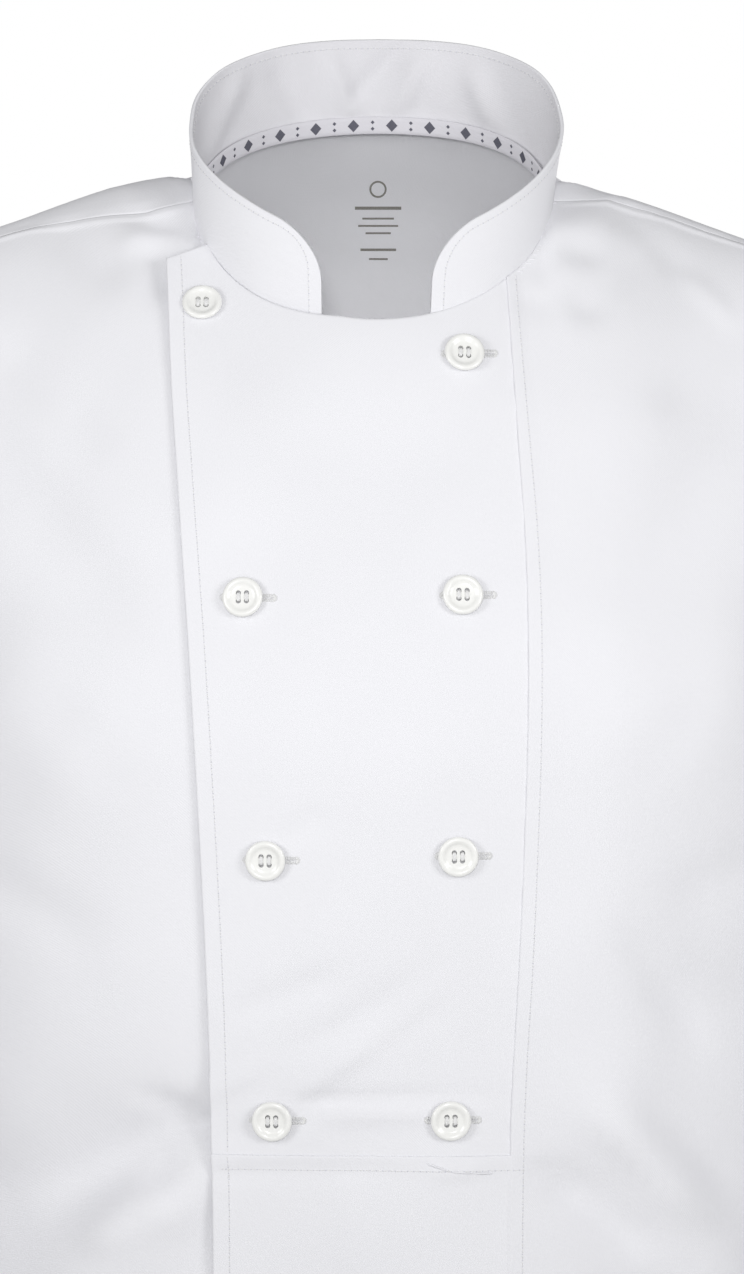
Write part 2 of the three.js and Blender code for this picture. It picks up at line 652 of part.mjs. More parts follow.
// The two faces' points round one armhole, from the underarm up the front and down the back, with
// the direction in the cloth that leads away from the body's edge
function armholeLoops(hand) {
  const edgeOf = (whole, edge, out) => {
    const grid = whole.slice(SKIRT_ROWS + WAIST_ROWS);
    const normals = gridNormals(grid);
    return grid.map((row, i) => {
      const normal = normals[i][edge].clone().multiplyScalar(out);
      return { inner: row[edge], outer: row[edge].clone().addScaledVector(normal, CLOTH), normal };
    });
  };
  const front = frontGrid(hand);
  const frontEdge = edgeOf(front, front[0].length - 1, hand);
  const back = backGrid();
  const backEdge = edgeOf(back, hand > 0 ? back[0].length - 1 : 0, -1);
  const loop = [...frontEdge, ...backEdge.slice(1, -1).reverse()];
  return loop.map((point, j) => {
    const next = loop[(j + 1) % loop.length].inner;
    const before = loop[(j + loop.length - 1) % loop.length].inner;
    const along = next.clone().sub(before);
    return { ...point, away: along.cross(point.normal).normalize().multiplyScalar(hand) };
  });
}

// The plain oval of the sleeve at a place along it
function sleeveOval(hand, along, round) {
  const at = (key) => read(SLEEVE, "along", key, along);
  const inner = new THREE.Vector3(at("innerX"), at("y"), at("innerZ"));
  const outer = new THREE.Vector3(at("outerX"), at("y"), at("outerZ"));
  const middle = inner.clone().add(outer).multiplyScalar(0.5);
  const half = outer.clone().sub(inner).multiplyScalar(0.5);
  const point = middle.addScaledVector(half, -Math.cos(round));
  point.y -= at("deep") * Math.sin(round);
  point.x *= hand;
  return point;
}

// How far the sleeve's folds lift it. A fold's run is measured on the sleeve, laid flat
function sleeveFoldLift(along, round) {
  const flat = (a, degrees) => new THREE.Vector2(a * SLEEVE_LENGTH, (degrees / 360) * SLEEVE_GIRTH);
  const here = flat(along, THREE.MathUtils.radToDeg(round));
  let lift = 0;
  for (const fold of SLEEVE_FOLDS) {
    const start = flat(fold.along0, fold.round0);
    const run = flat(fold.along1, fold.round1).sub(start);
    const to = here.clone().sub(start);
    const share = to.dot(run) / run.lengthSq();
    const aside = to.cross(run) / run.length();
    lift += foldHeight(fold, share, aside);
  }
  return lift;
}

function makeSleeve(name, hand) {
  const loops = armholeLoops(hand);
  const loop = loops.map(({ outer }) => outer);
  const lengths = [0];
  loop.forEach((point, i) => {
    lengths.push(lengths[i] + point.distanceTo(loop[(i + 1) % loop.length]));
  });
  const rounds = loop.map((_, i) => (lengths[i] / lengths[loop.length]) * Math.PI * 2);
  const alongs = [];
  for (let i = 0; i <= SLEEVE_STEPS; i += 1) alongs.push((i / SLEEVE_STEPS) ** SLEEVE_CROWDING);
  const faced = (grid) =>
    gridNormals(grid, true).map((row) => row.map((normal) => normal.multiplyScalar(hand)));
  const plain = alongs.map((along) => {
    const fade = 1 - smoothstep(along, 0, ARMHOLE_REACH);
    return loop.map((point, j) => {
      const off = point.clone().sub(sleeveOval(hand, 0, rounds[j]));
      return sleeveOval(hand, along, rounds[j]).addScaledVector(off, fade);
    });
  });
  const outer = movedOut(plain, faced(plain), (_, i, j) => sleeveFoldLift(alongs[i], rounds[j]));
  const inner = movedOut(outer, faced(outer), -CLOTH);
  loops.forEach((edge, j) => {
    outer[0][j].copy(edge.outer).addScaledVector(edge.away, SEAM_GAP);
    inner[0][j].copy(edge.inner).addScaledVector(edge.away, SEAM_GAP);
  });
  return named(name, wallGeometry(outer, inner, { ring: true }), cloth);
}

// The height of the collar's bottom edge over the neckline: the left front lies over the right one
function collarLift(signed) {
  const left = smoothstep(Math.sin(degToRad(signed)), -COLLAR_LIFT.blend, COLLAR_LIFT.blend);
  const ahead = smoothstep(Math.cos(degToRad(signed)), -0.1, 0.25);
  return lerp(COLLAR_LIFT.right, COLLAR_LIFT.left, left * ahead);
}

// The collar's band: its middle surface at an angle round the neck and a share of its height
function collarPoint(degrees, share) {
  const angle = degToRad(degrees);
  const signed = degrees > 180 ? degrees - 360 : degrees;
  const base = neckPoint(signed);
  const ahead = Math.cos(angle);
  const out = new THREE.Vector3(Math.sin(angle), -ahead, 0);
  const inFront = signed > 0 ? COLLAR_AHEAD.left : COLLAR_AHEAD.right;
  base.addScaledVector(out, lerp(COLLAR_AHEAD.behind, inFront, smoothstep(ahead, 0, 0.8)));
  base.z += collarLift(signed);
  const top = base.clone();
  top.z = read(COLLAR_RIM, "turn", "z", Math.abs(signed));
  top.x += COLLAR_FLARE * Math.sin(angle);
  top.y += COLLAR_LEAN * smoothstep(ahead, 0, 1);
  return base.lerp(top, share);
}

function makeCollar() {
  const first = COLLAR_END_DEG;
  const last = 360 - COLLAR_END_DEG;
  const columns = [];
  for (let j = 0; j <= COLLAR_COLUMNS; j += 1) {
    const even = j / COLLAR_COLUMNS;
    const crowded = 0.5 - 0.5 * Math.cos(Math.PI * even);
    const middle = COLLAR_EVENNESS * (1 - Math.abs(2 * even - 1) ** 3);
    columns.push(lerp(first, last, lerp(crowded, even, middle)));
  }
  const length = (a, b) => collarPoint(a, 0).distanceTo(collarPoint(b, 0));
  const heightShare = (degrees) => {
    const end = degrees < 180 ? first : last;
    const full = collarPoint(degrees, 1).distanceTo(collarPoint(degrees, 0));
    const left = COLLAR_CORNER - Math.min(length(end, degrees), COLLAR_CORNER);
    return (full - COLLAR_CORNER + Math.sqrt(COLLAR_CORNER ** 2 - left ** 2)) / full;
  };
  const grid = [];
  for (let i = 0; i <= COLLAR_ROWS; i += 1) {
    grid.push(columns.map((d) => collarPoint(d, (i / COLLAR_ROWS) * heightShare(d))));
  }
  const normals = gridNormals(grid);
  const outer = movedOut(grid, normals, COLLAR_CLOTH / 2);
  const inner = movedOut(grid, normals, -COLLAR_CLOTH / 2);
  return named("collar", wallGeometry(outer, inner), cloth);
}

function makeTape() {
  const grid = [];
  for (const height of [-TAPE_BELOW, (TAPE_ABOVE - TAPE_BELOW) / 2, TAPE_ABOVE]) {
    const row = [];
    for (let j = 0; j <= TAPE_COLUMNS; j += 1) {
      const degrees = lerp(TAPE_FROM_DEG, 360 - TAPE_FROM_DEG, j / TAPE_COLUMNS);
      const point = collarPoint(degrees, 0);
      point.z += height - collarLift(degrees);
      row.push(point);
    }
    grid.push(row);
  }
  const normals = gridNormals(grid).map((row) => row.map((n) => n.setZ(0).normalize()));
  const face = -COLLAR_CLOTH / 2 - TAPE_GAP;
  const near = movedOut(grid, normals, face);
  const far = movedOut(grid, normals, face - TAPE_CLOTH);
  return named("neck_tape", wallGeometry(near, far), tapeCloth);
}

// A closed geometry as a solid that can be cut
function solidOf(geometry) {
  const bare = geometry.clone().deleteAttribute("normal").deleteAttribute("uv");
  const merged = mergeVertices(bare, 1e-4);
  return new wasm.Manifold(
    new wasm.Mesh({
      numProp: 3,
      vertProperties: merged.attributes.position.array,
      triVerts: new Uint32Array(merged.index.array),
    }),
  );
}

// A four-hole button, face up, with its back on the plane z = 0
function buttonGeometry() {
  const profile = [
    [0, 0],
    [BUTTON_BACK_RADIUS, 0],
    [BUTTON_RADIUS, BUTTON_THICK / 2],
    [BUTTON_RIM_OUTSIDE, BUTTON_THICK],
    [BUTTON_RIM_INSIDE, BUTTON_THICK],
    [BUTTON_DISH_RADIUS, BUTTON_THICK - BUTTON_DISH_DEPTH],
    [0, BUTTON_THICK - BUTTON_DISH_DEPTH],
  ].map(([x, y]) => new THREE.Vector2(x, y));
  const disc = new THREE.LatheGeometry(profile, BUTTON_SEGMENTS).rotateX(Math.PI / 2);
  let solid = solidOf(disc);
  for (const [x, y] of [[-1, -1], [1, -1], [1, 1], [-1, 1]]) {
    const through = 3 * BUTTON_THICK;
    const hole = new THREE.CylinderGeometry(BUTTON_HOLE_RADIUS, BUTTON_HOLE_RADIUS, through, 8);
    hole.rotateX(Math.PI / 2);
    hole.translate((x * BUTTON_HOLE_PITCH) / 2, (y * BUTTON_HOLE_PITCH) / 2, 0);
    solid = solid.subtract(solidOf(hole));
  }
  const { vertProperties, triVerts } = solid.getMesh();
  const geometry = new THREE.BufferGeometry();
  geometry.setAttribute("position", new THREE.BufferAttribute(new Float32Array(vertProperties), 3));
  geometry.setIndex(new THREE.BufferAttribute(new Uint32Array(triVerts), 1));
  geometry.computeVertexNormals();
  return geometry;
}

function makeButtons() {
  const grid = frontGrid(1);
  const faced = movedOut(grid, gridNormals(grid), (point) => overLift(point) + CLOTH);
  const geometry = buttonGeometry();
  const counts = { left: 0, right: 0 };
  return BUTTONS.map(({ column, x, z }) => {
    counts[column] += 1;
    const mesh = named(`button_${column}_${counts[column]}`, geometry, plastic);
    const span = BUTTON_RADIUS;
    const across = pointInView(faced, x + span, z).sub(pointInView(faced, x - span, z));
    const rise = pointInView(faced, x, z + span).sub(pointInView(faced, x, z - span));
    const normal = across.cross(rise).normalize();
    mesh.position.copy(pointInView(faced, x, z)).addScaledVector(normal, BUTTON_SEAT);
    mesh.quaternion.setFromUnitVectors(new THREE.Vector3(0, 0, 1), normal);
    return mesh;
  });
}

const jacket = new THREE.Group();
jacket.name = "chef_jacket";
jacket.add(makeBack(), makeRightFront(), ...makeLeftFront());
jacket.add(makeSleeve("sleeve_left", 1), makeSleeve("sleeve_right", -1));
jacket.add(makeCollar(), makeTape(), ...makeButtons());

export default jacket;
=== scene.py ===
import math

import bmesh
import bpy
import numpy as np
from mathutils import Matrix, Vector


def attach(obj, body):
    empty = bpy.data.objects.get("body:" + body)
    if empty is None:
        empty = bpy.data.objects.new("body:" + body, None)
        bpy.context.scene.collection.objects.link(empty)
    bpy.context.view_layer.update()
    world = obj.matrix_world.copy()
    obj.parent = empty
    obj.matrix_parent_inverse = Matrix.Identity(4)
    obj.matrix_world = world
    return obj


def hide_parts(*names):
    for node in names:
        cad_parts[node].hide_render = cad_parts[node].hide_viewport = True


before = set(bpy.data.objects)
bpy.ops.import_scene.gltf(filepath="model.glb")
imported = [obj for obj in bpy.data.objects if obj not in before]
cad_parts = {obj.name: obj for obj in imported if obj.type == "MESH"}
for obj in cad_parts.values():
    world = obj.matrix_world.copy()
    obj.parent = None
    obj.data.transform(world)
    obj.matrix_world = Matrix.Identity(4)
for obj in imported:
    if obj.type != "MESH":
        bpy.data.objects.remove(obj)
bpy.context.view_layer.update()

# The jacket's dressed model. Sizes are in millimetres until a mesh is made, which is in metres.
# The front faces -Y and the wearer's left is +X, as in the frame.
MM = 0.001

# Camera at the photograph's angle
CAMERA_TARGET = (-1.2, -135, -190.4)
CAMERA_DISTANCE = 2500
CAMERA_ELEVATION = 5.75
CAMERA_TURN = -0.73
CAMERA_LENS = 160.2

# Cloth
CLOTH = 1.6
SHELL = 1.1
LAYER_GAP = 0.8
COLLAR_CLOTH = 2.4
COLLAR_SHELL = 1.7
TAPE_CLOTH = 0.9

# The body form: the frame's, but for its uneven shoulders and neck
UNDERARM_Z = -250
HEM_Z = -740
SHOULDER_FORM_HALF = 245
RIDGE_TOP = 11
SHOULDER_SLOPE = 0.36
SLOPE_FROM = {"left": 80, "right": 103}
SLOPE_BLEND_X = (-40, 40)
SLOPE_EASE = 18
NECK_HALF = 85
NAPE_RISE = 34
ROUNDNESS = {"front": 2.35, "back": 2.5}
RISE = {"front": 1.65, "back": 3}
CREST = {"front": 1.45, "back": 1.8}
NECK_IN = {"left": 6, "right": 1.4}
NECK_CENTRE_Y = -14
NECK_HALF_DEPTH = 62
NECK_SIDE_Z = -3
NECK_CORNER = {"high": 3.5, "wide": 14}
NECK_FALL = 43
NECK_SAG = 9
RIGHT_NECK_DROP = 5
SHOULDER_SEAM_DEG = 86
TIP_X = 228
BIB_BOTTOM_Z = -423
OVERLAP_CORNER_Z = -29
OVERLAP_STEP_X = -78
CORNER_OVER = 3.8
UNDERLAP_SINK = 1
FREE_EDGE_DEG = (0, 14)
BIB_OVER_SEAM = 1.5
UNDERLAP_BELOW_NECK = 4
COLLAR_END_DEG = 16.5
COLLAR_CORNER = 22
COLLAR_LIFT = {"left": -0.9, "right": -1.4, "blend": 0.3}
COLLAR_LIFT_FADES = (-0.1, 0.25)
COLLAR_BEHIND_BIB = 2.2
COLLAR_TUCK_FADES = (0.3, 0.5)
COLLAR_FLARE = {"left": 5.2, "right": 2.4}
COLLAR_LEAN = 2.5
COLLAR_AHEAD = {"behind": 0.3, "left": 2, "right": 1.2}
COLLAR_AHEAD_FADES = (0, 0.8)
COLLAR_BEHIND_Y = (-40, 10)
COLLAR_CALM = (0, 14)
TAPE_FROM_DEG = 98
TAPE_GAP = 0.5
TAPE_BELOW = 2.4
TAPE_ABOVE = 5.2

# Columns of the frame's grids, which the finer grids here run through
BIB_NECK_STEPS = 8
SIDE_NECK_STEPS = 4
SHOULDER_STEPS = 7
BACK_NECK_STEPS = 12


def table(names, *rows):
    """A table with named columns."""
    columns = np.array(rows, float).T
    return dict(zip(names.split(), columns))


BODY = table(
    "z half front back",
    (-740, 221, 145, 127),
    (-620, 215, 140, 119),
    (-520, 208, 134, 111),
    (-430, 205, 131, 107),
    (-330, 209, 134, 111),
    (-250, 212, 136, 116),
)
ARMHOLE = table(
    "up x",
    *((0, 212), (0.02, 209.6), (0.06, 206), (0.14, 200), (0.3, 193)),
    *((0.5, 192), (0.7, 200), (0.86, 213), (1, 228)),
)
OVERLAP_EDGE = table("z x", (-740, -71), (-423, -72), (-300, -76), (-176, -83.5), (-29, -96))
BIB_SEAM = table("z x", (-740, 60), (-423, 60), (-300, 65.5), (-176, 68), (-90, 64.5), (-38, 61))
SEAM_AHEAD = {
    1: table("x ahead", (85, 12), (103, 9), (126, 7), (228, 4)),
    -1: table("x ahead", (85, 28), (108, 24), (126, 20), (146, 14.5), (164, 10.4), (228, 4)),
}
COLLAR_RIM = table(
    "turn z",
    *zip(range(0, 181, 15), (-17, -15, -8, 2, 12.5, 23, 34, 46, 57, 64, 69, 71.4, 72)),
)
SLEEVE = table(
    "along innerX innerZ outerX outerZ y deep",
    (0, 212, -250, 228, -36, 0, 62),
    (0.05, 222, -249, 250, -43, 0, 61.5),
    (0.11, 229, -255, 272, -63, 0, 66),
    (0.18, 233, -267, 292, -98, 1, 69),
    (0.26, 235.5, -284, 308, -146, 2, 70),
    (0.34, 238, -307, 321, -200, 3, 69),
    (0.43, 240.5, -340, 333, -258, 3, 66),
    (0.54, 249, -390, 345, -328, 1, 62),
    (0.67, 263, -454, 356, -410, -8, 58),
    (0.82, 280, -534, 368, -504, -24, 54),
    (1, 300, -634, 384, -614, -46, 50),
)
ARMHOLE_REACH = 0.26

# Large folds of the body, nearly the frame's: each a soft ridge or trough from one point to
# another, seen from the front
FOLD = "x0 z0 x1 z1 wide high"
FRONT_FOLDS = table(
    FOLD,
    (-186, -100, -104, -196, 20, -4.5),
    (-178, -196, -112, -268, 34, 3.5),
    (188, -78, 104, -178, 22, -4.5),
    (176, -178, 118, -262, 34, 3.5),
    (-84, -408, -205, -470, 24, -8),
    (-84, -424, -176, -548, 22, 7),
    (-128, -560, -142, -760, 30, 8),
    (208, -376, 118, -342, 20, -3.5),
    (96, -378, 176, -520, 20, 7),
    (104, -404, 126, -540, 24, -5),
    (138, -560, 146, -760, 30, 8),
    (20, -600, 24, -760, 36, -4),
)
BACK_FOLDS = table(
    FOLD,
    (-186, -120, -96, -205, 24, -4),
    (186, -104, 92, -196, 24, -4),
    (-204, -372, -70, -420, 22, -7),
    (206, -384, 64, -446, 22, -7),
    (-96, -452, 88, -470, 26, -5),
    (-104, -470, -122, -760, 28, 9),
    (6, -500, 2, -760, 30, 8),
    (110, -488, 126, -760, 28, 9),
)
SLEEVE_FOLD = "along0 round0 along1 round1 wide high"
SLEEVE_FOLDS = table(
    SLEEVE_FOLD,
    (0.09, 95, 0.24, 30, 17, -5),
    (0.09, 262, 0.26, 330, 17, -5),
    (0.2, 60, 0.42, 150, 16, 4),
    (0.5, 20, 0.56, 135, 13, -6),
    (0.58, 10, 0.52, 120, 12, -5),
    (0.62, 40, 0.66, 150, 14, -5),
    (0.55, 240, 0.6, 300, 26, 5),
    (0.7, 250, 0.86, 170, 16, -5),
    (0.88, 30, 0.84, 130, 13, -4),
    (0.92, 190, 0.88, 290, 13, 4),
)
SLEEVE_LENGTH = 620
SLEEVE_GIRTH = 390

# Finer creases, which only this model has
LEFT_CREASES = table(
    FOLD,
    # across the bib
    (-44, -402, 28, -351, 5, 1.8),
    (-90, -400, 4, -368, 7, 1.5),
    (-80, -410, 30, -334, 6, -1.4),
    (-66, -361, -12, -339, 7, -1.7),
    (-10, -376, 34, -352, 7, -1.6),
    (-70, -415, -14, -400, 5, -1.8),
    (-52, -398.5, 54, -395.5, 3.6, -1.9),
    (-42, -404, 48, -403, 4, 1.6),
    (-42, -284, -20, -266, 6, -1.2),
    # below the bib
    (22, -432, 50, -428, 3, 1.2),
    (-72, -430, 17, -429, 4, -1),
    (-75, -432, -52, -432, 2.4, -0.9),
    (-11, -430, -11, -480, 6, 1),
    # beside the neck
    (86, -38, 124, 0, 10, -1.8),
    (70, -23, 106, -11, 7, 1.3),
    (72, -20, 106, -30, 5.5, -0.8),
    (66, -38, 106, -32, 7, 1.2),
    (66, -30, 90, -46, 6, -0.8),
    (64, -38, 90, -52, 6, 0.9),
    (58, -45, 108, -53, 5.5, -1.1),
    (86, -54, 124, -22, 9, -1.8),
    (72, 0, 100, 1, 6, -0.9),
    (112, -8, 146, -40, 7, -1.3),
    (136, -32, 164, -58, 5, 1),
    # armhole and chest
    (172, -52, 124, -96, 12, -2.2),
    (150, -214, 112, -262, 14, -1.6),
    (190, -290, 128, -310, 13, -1.8),
    # below the waist
    (108, -316, 148, -382, 9, -2.6),
    (96, -396, 150, -460, 9, 5.5),
    (74, -426, 124, -472, 8, -4),
    (72, -424, 90, -450, 4, -2),
    (112, -390, 170, -452, 8, -2.6),
    (122, -480, 148, -560, 10, -2.8),
    (176, -590, 110, -700, 14, -2.4),
)
RIGHT_CREASES = table(
    FOLD,
    # beside the neck
    (-126, -2, -74, -19, 6, -2.2),
    (-110, -14, -76, 10, 5, 1.5),
    (-120, -22, -80, -14, 5, 1.2),
    (-112, -13, -78, -16, 4.5, -0.9),
    (-106, -18, -92, -46, 8, -2.4),
    (-154, -10, -112, -38, 12, -2.2),
    # armhole and chest
    (-176, -60, -120, -110, 12, -2.2),
    (-150, -220, -108, -262, 14, -1.8),
    (-190, -300, -120, -330, 13, -2),
    (-76, -260, -75, -410, 3.6, -1.4),
    # below the waist, from under the overlap
    (-40, -386, -106, -443, 7, -3.6),
    (-64, -394, -150, -455, 11, -5.2),
    (-50, -422, -106, -394, 4.5, -3.2),
    (-56, -413, -92, -411, 4, -2.6),
    (-79, -410, -93, -464, 6, 3),
    (-90, -440, -130, -470, 9, 4.4),
    (-66, -440, -88, -490, 8, -1.8),
    (-98, -478, -132, -560, 10, -2.6),
    (-176, -600, -120, -690, 14, -2.4),
)
COLLAR_CREASES = table(
    FOLD,
    (-25, 68, -8, 26, 5, -2.8),
    (23, 68, 1, 26, 6, -3.2),
    (40, 62, 62, 18, 6, -2.8),
    (-63, 60, -82, 12, 4.5, -2.6),
    (-52, 64, -30, 28, 7, 2.6),
    (-18, 40, 12, 70, 4.5, 2.4),
)
BACK_CREASES = table(
    FOLD,
    (-150, -60, -96, -120, 12, -2),
    (150, -66, 100, -128, 12, -2),
    (-40, -20, 40, -24, 12, -1.4),
    (-180, -250, -100, -300, 14, -2.4),
    (180, -262, 96, -306, 14, -2.2),
    (-190, -330, -90, -376, 12, 2.6),
    (190, -340, 80, -400, 12, 2.4),
    (-150, -420, -40, -440, 10, -2.4),
    (150, -432, 30, -452, 10, -2.6),
    (-60, -480, -50, -600, 12, -2.8),
    (56, -490, 60, -610, 12, -2.6),
    (-170, -560, -150, -740, 14, 2.6),
    (172, -570, 158, -740, 14, 2.4),
)
SLEEVE_CREASES = table(
    SLEEVE_FOLD,
    (0.05, 120, 0.2, 70, 8, -1.6),
    (0.05, 240, 0.2, 290, 8, -1.6),
    (0.12, 20, 0.2, 345, 8, 2),
    (0.3, 80, 0.38, 10, 10, -2.2),
    (0.34, 300, 0.44, 230, 11, -2),
    (0.46, 60, 0.5, 160, 7, 2.2),
    (0.54, 40, 0.6, 140, 6, 2.4),
    (0.48, 330, 0.55, 280, 8, -2.2),
    (0.62, 200, 0.7, 120, 8, -2),
    (0.66, 320, 0.74, 250, 9, 2.2),
    (0.76, 60, 0.82, 140, 8, 2),
    (0.8, 280, 0.88, 350, 8, -2),
    (0.9, 100, 0.94, 200, 6, -1.8),
    (0.95, 250, 0.92, 340, 6, -1.6),
)

# Buttons, seen from the front: the wearer's right column and left column, from the top
BUTTONS = {
    "button_right_1": (-78.7, -47),
    "button_right_2": (-58.4, -174),
    "button_right_3": (-48.2, -289.5),
    "button_right_4": (-45.6, -407),
    "button_left_1": (39.4, -68),
    "button_left_2": (38.8, -172.7),
    "button_left_3": (36.9, -287.4),
    "button_left_4": (33.8, -406.4),
}
BUTTON_THICK = 3.1
BUTTON_SIDES = 64
HOLE_SIDES = 20
BUTTON_HOLE_RADIUS = 1.15
BUTTON_HOLE_PITCH = 3.6
BUTTON_PROFILE = (
    (0, 0.3),
    (7, 0.2),
    (8.4, 0.8),
    (8.9, 1.4),
    (9, 1.9),
    (8.8, 2.5),
    (8.3, 2.9),
    (7.6, 3.1),
    (6.9, 3.0),
    (6.2, 2.6),
    (5.6, 2.2),
    (4.9, 2.02),
    (4.2, 1.95),
    (0, 1.95),
)
HOLE_PLACES = [(x * BUTTON_HOLE_PITCH / 2, y * BUTTON_HOLE_PITCH / 2) for x in (-1, 1) for y in (-1, 1)]
THREAD_SIDES = 6
THREAD_RADIUS = 0.24
THREAD_SHIFTS = (-0.54, -0.18, 0.18, 0.54)
THREAD_HALF = ((-1, -1.2), (-1, 1.4), (-0.9, 2.05), (-0.5, 2.3))
THREAD_PATH = (*THREAD_HALF, *[(-y, z) for y, z in THREAD_HALF[::-1]])
BUTTONHOLE_LENGTH = 22.4
BUTTONHOLE_REACH = {"usual": 13.6, "button_left_4": 12.2}
BUTTONHOLE_HALF = 1.9
BUTTONHOLE_PITCH = 0.72
BUTTONHOLE_FAN = np.linspace(-75, 75, 7)
SLIT_HALF = 0.1
SLIT_STEPS = 8
SLIT_LIFT = 0.06
PURL_RADIUS = 0.27

# Sewing. A stitch has rings along its length, each with its place, height and girth.
STITCH_SIDES = 5
STITCH_STATIONS = ((-0.5, -0.6, 0.5), (-0.3, 0.5, 1), (0.3, 0.5, 1), (0.5, -0.6, 0.5))
STITCH_PITCH = 2.8
STITCH_LENGTH = 2
STITCH_RADIUS = 0.16
# The grey patches of painted shade at the needle holes between stitches
NEEDLE_RADIUS = 0.36
NEEDLE_LIFT = 0.04
NEEDLE_SIDES = 6
COLLAR_STITCH_GAP = 3
COLLAR_SEAM_GAP = 4
COLLAR_STITCH_STEPS = {"end": 6, "corner": 9, "rim": 120, "seam": 160}
EDGE_STITCH = 7.3
SEAM_STITCH = 5.8
BIB_FOOT_STITCH = 6.5
COLLAR_STITCH = 5.8
COLLAR_SEAM_STITCH = 2.4
HEM_STITCH = 20
CUFF_STITCH = 25
ROPING_FROM_X = 60
ROPING_PITCH = 3.1
ROPING_LENGTH = 2.2
ROPING_FROM_EDGE = 0.6
ROPING_WIDE = 3
ROPING_RADIUS = 0.3
ROPING_SINK = 0.24
TUCK = ((22.5, -425.5), (34, -429.5), (44, -430.3), (53, -430.6))
TUCK_RADIUS = 0.45

# Figures on the tape, each a list of outlines: across and up from its middle
FIGURE_PITCH = 9
FIGURE_LIFT = 0.08
DIAMOND = (((-2.7, 0), (0, -2.9), (2.7, 0), (0, 2.9)),)
DOTS = (
    ((-0.9, 1.5), (0, 0.6), (0.9, 1.5), (0, 2.4)),
    ((-0.9, -1.5), (0, -2.4), (0.9, -1.5), (0, -0.6)),
)

# The print inside the back: a ring, and bars given by their middle, width and height
PRINT_RING_AT = (-1, 2)
PRINT_RING_RADII = (4.1, 3.2)
PRINT_RING_SIDES = 24
PRINT_BAR_STEPS = 8
PRINT_LIFT = 0.1
PRINT_BARS = (
    (-1, -7, 22, 1.5),
    (-1, -12, 15, 0.9),
    (-1, -15.5, 19, 0.9),
    (-1, -19, 12, 0.9),
    (-1, -27, 17, 1.2),
    (-1, -31.5, 9, 0.9),
)
ALLOWANCE_ROWS = (9, 6, 3, 0.5)
ALLOWANCE_THICK = 0.5
ALLOWANCE_LIFT = 0.6

# Each cloth piece: the node that it replaces, the width and length of its flat cut as far as it
# shows, the share of that rectangle that the cut covers, and the pieces that it hangs from
CLOTHS = {
    "back_panel": ("back", 590, 850, 0.8, ()),
    "right_front": ("front_right", 402, 788, 0.795, ("back_panel",)),
    "left_front": ("front_left", 406, 790, 0.61, ("back_panel",)),
    "bib_panel": ("bib", 188, 428, 0.73, ("left_front",)),
    "left_sleeve": ("sleeve_left", 560, 622, 0.557, ("back_panel", "left_front")),
    "right_sleeve": ("sleeve_right", 573, 628, 0.544, ("back_panel", "right_front")),
    "collar_band": ("collar", 494, 50, 0.73, ("back_panel", "right_front", "left_front", "bib_panel")),
    "neck_tape_band": ("neck_tape", 213, 10, 0.84, ("collar_band", "back_panel")),
    "shoulder_allowance_left": (None, 156, 10, 0.55, ("back_panel",)),
    "shoulder_allowance_right": (None, 156, 10, 0.62, ("back_panel",)),
}

# Grid steps: the width of a cell, the widths of the spans between the frame's columns, and the
# heights of the three parts of a panel
CELL = 3.2
BIB_SPAN = 16
SIDE_NECK_SPAN = 9
SHOULDER_SPAN = 20
BACK_NECK_SPAN = 16
SKIRT_HIGH = 317
WAIST_HIGH = 173
CHEST_HIGH = 270
CHEST_CROWD = 1.15
SLEEVE_CROWD = 1.15
TOP_PULL = (0.6, 1)
SEARCHED_UPS = (0.3, 1.6, 0.001)
HALVINGS = 30
EDGE_ROUNDS = 6
SMALL_TURN = 0.01
SMALL_UP = 0.004
COLLAR_ROUND = 490
COLLAR_DENSE = 1.6
COLLAR_EVEN = 0.94
COLLAR_ROWS = 15
TAPE_ROUND = 230
TAPE_ROWS = 5
RIM_ROUNDING = 0.35
EDGE_LINE = 0.7

# How a fold rises and falls along its run, as shares of it
FOLD_RISE = (-0.1, 0.3)
FOLD_FALL = (0.7, 1.1)

# Soft waves of the cloth: their sizes and heights
BODY_WAVES = ((46, 85), (0.3, 0.5))
SLEEVE_WAVES = ((40, 75), (0.3, 0.5))
COLLAR_WAVES = ((34, 60), (0.6, 1))
PUCKER_WAVES = ((9, 14, 23), (0.5, 0.5, 0.4))

# Where the left front comes down to the form: over x beside the overlap, and over z at the neck
LAP_ENDS_X = (102, 146)
LAP_ENDS_Z = (-20, -1)
LAP_NECK_X = 70
BIB_FOOT_END_X = 62

# Small steps of the cloth
MEETING_ROWS = 5
MEETING_COLUMNS = 7
SEAM_GAP = 0.3
LAP_RISE = 0.7
LAP_FALL = (SEAM_STITCH - 2, SEAM_STITCH + 3)
HEM_FALL = (HEM_STITCH - 1, HEM_STITCH + 2)
HEM_STEP = 0.25
WELT = 0.7
WELT_FROM_EDGE = 3
WELT_WIDE = 1.6
WELT_BEGINS_X = (84, 92)
BUTTON_CALM = 13
OVERLAP_BLEND_X = (-70, -60)
SLEEVE_CALM = (0, 0.02)
CUFF_EASE = 0.003

# Stage
FLOOR_Z = -1450
FLOOR_HALF = 2500
SURROUND_LIGHT = 0.43
SURROUND_LEAN = {"back": 0.25, "up": 0.2}
SPOT = {
    "place": (-0.03, -2.6, 0.3),
    "target": (0, 0, -0.04),
    "power": 68,
    "radius": 0.12,
    "angle": 32,
    "blend": 1,
}
LAMP_TARGET = (0, 0, -0.3)
LAMPS = (
    ("left_lamp", (-1.6, -1.7, 0.3), 0.8, 13.5),
    ("right_lamp", (1.6, -1.7, 0.3), 0.8, 14),
    ("back_lamp", (0.9, 2.4, -0.4), 1.6, 42),
)
INNER_SPOT = {
    "place": (0, -0.05, -0.12),
    "target": (0, 0.1, -0.06),
    "power": 0.33,
    "radius": 0.03,
    "angle": 56,
    "blend": 0.8,
}


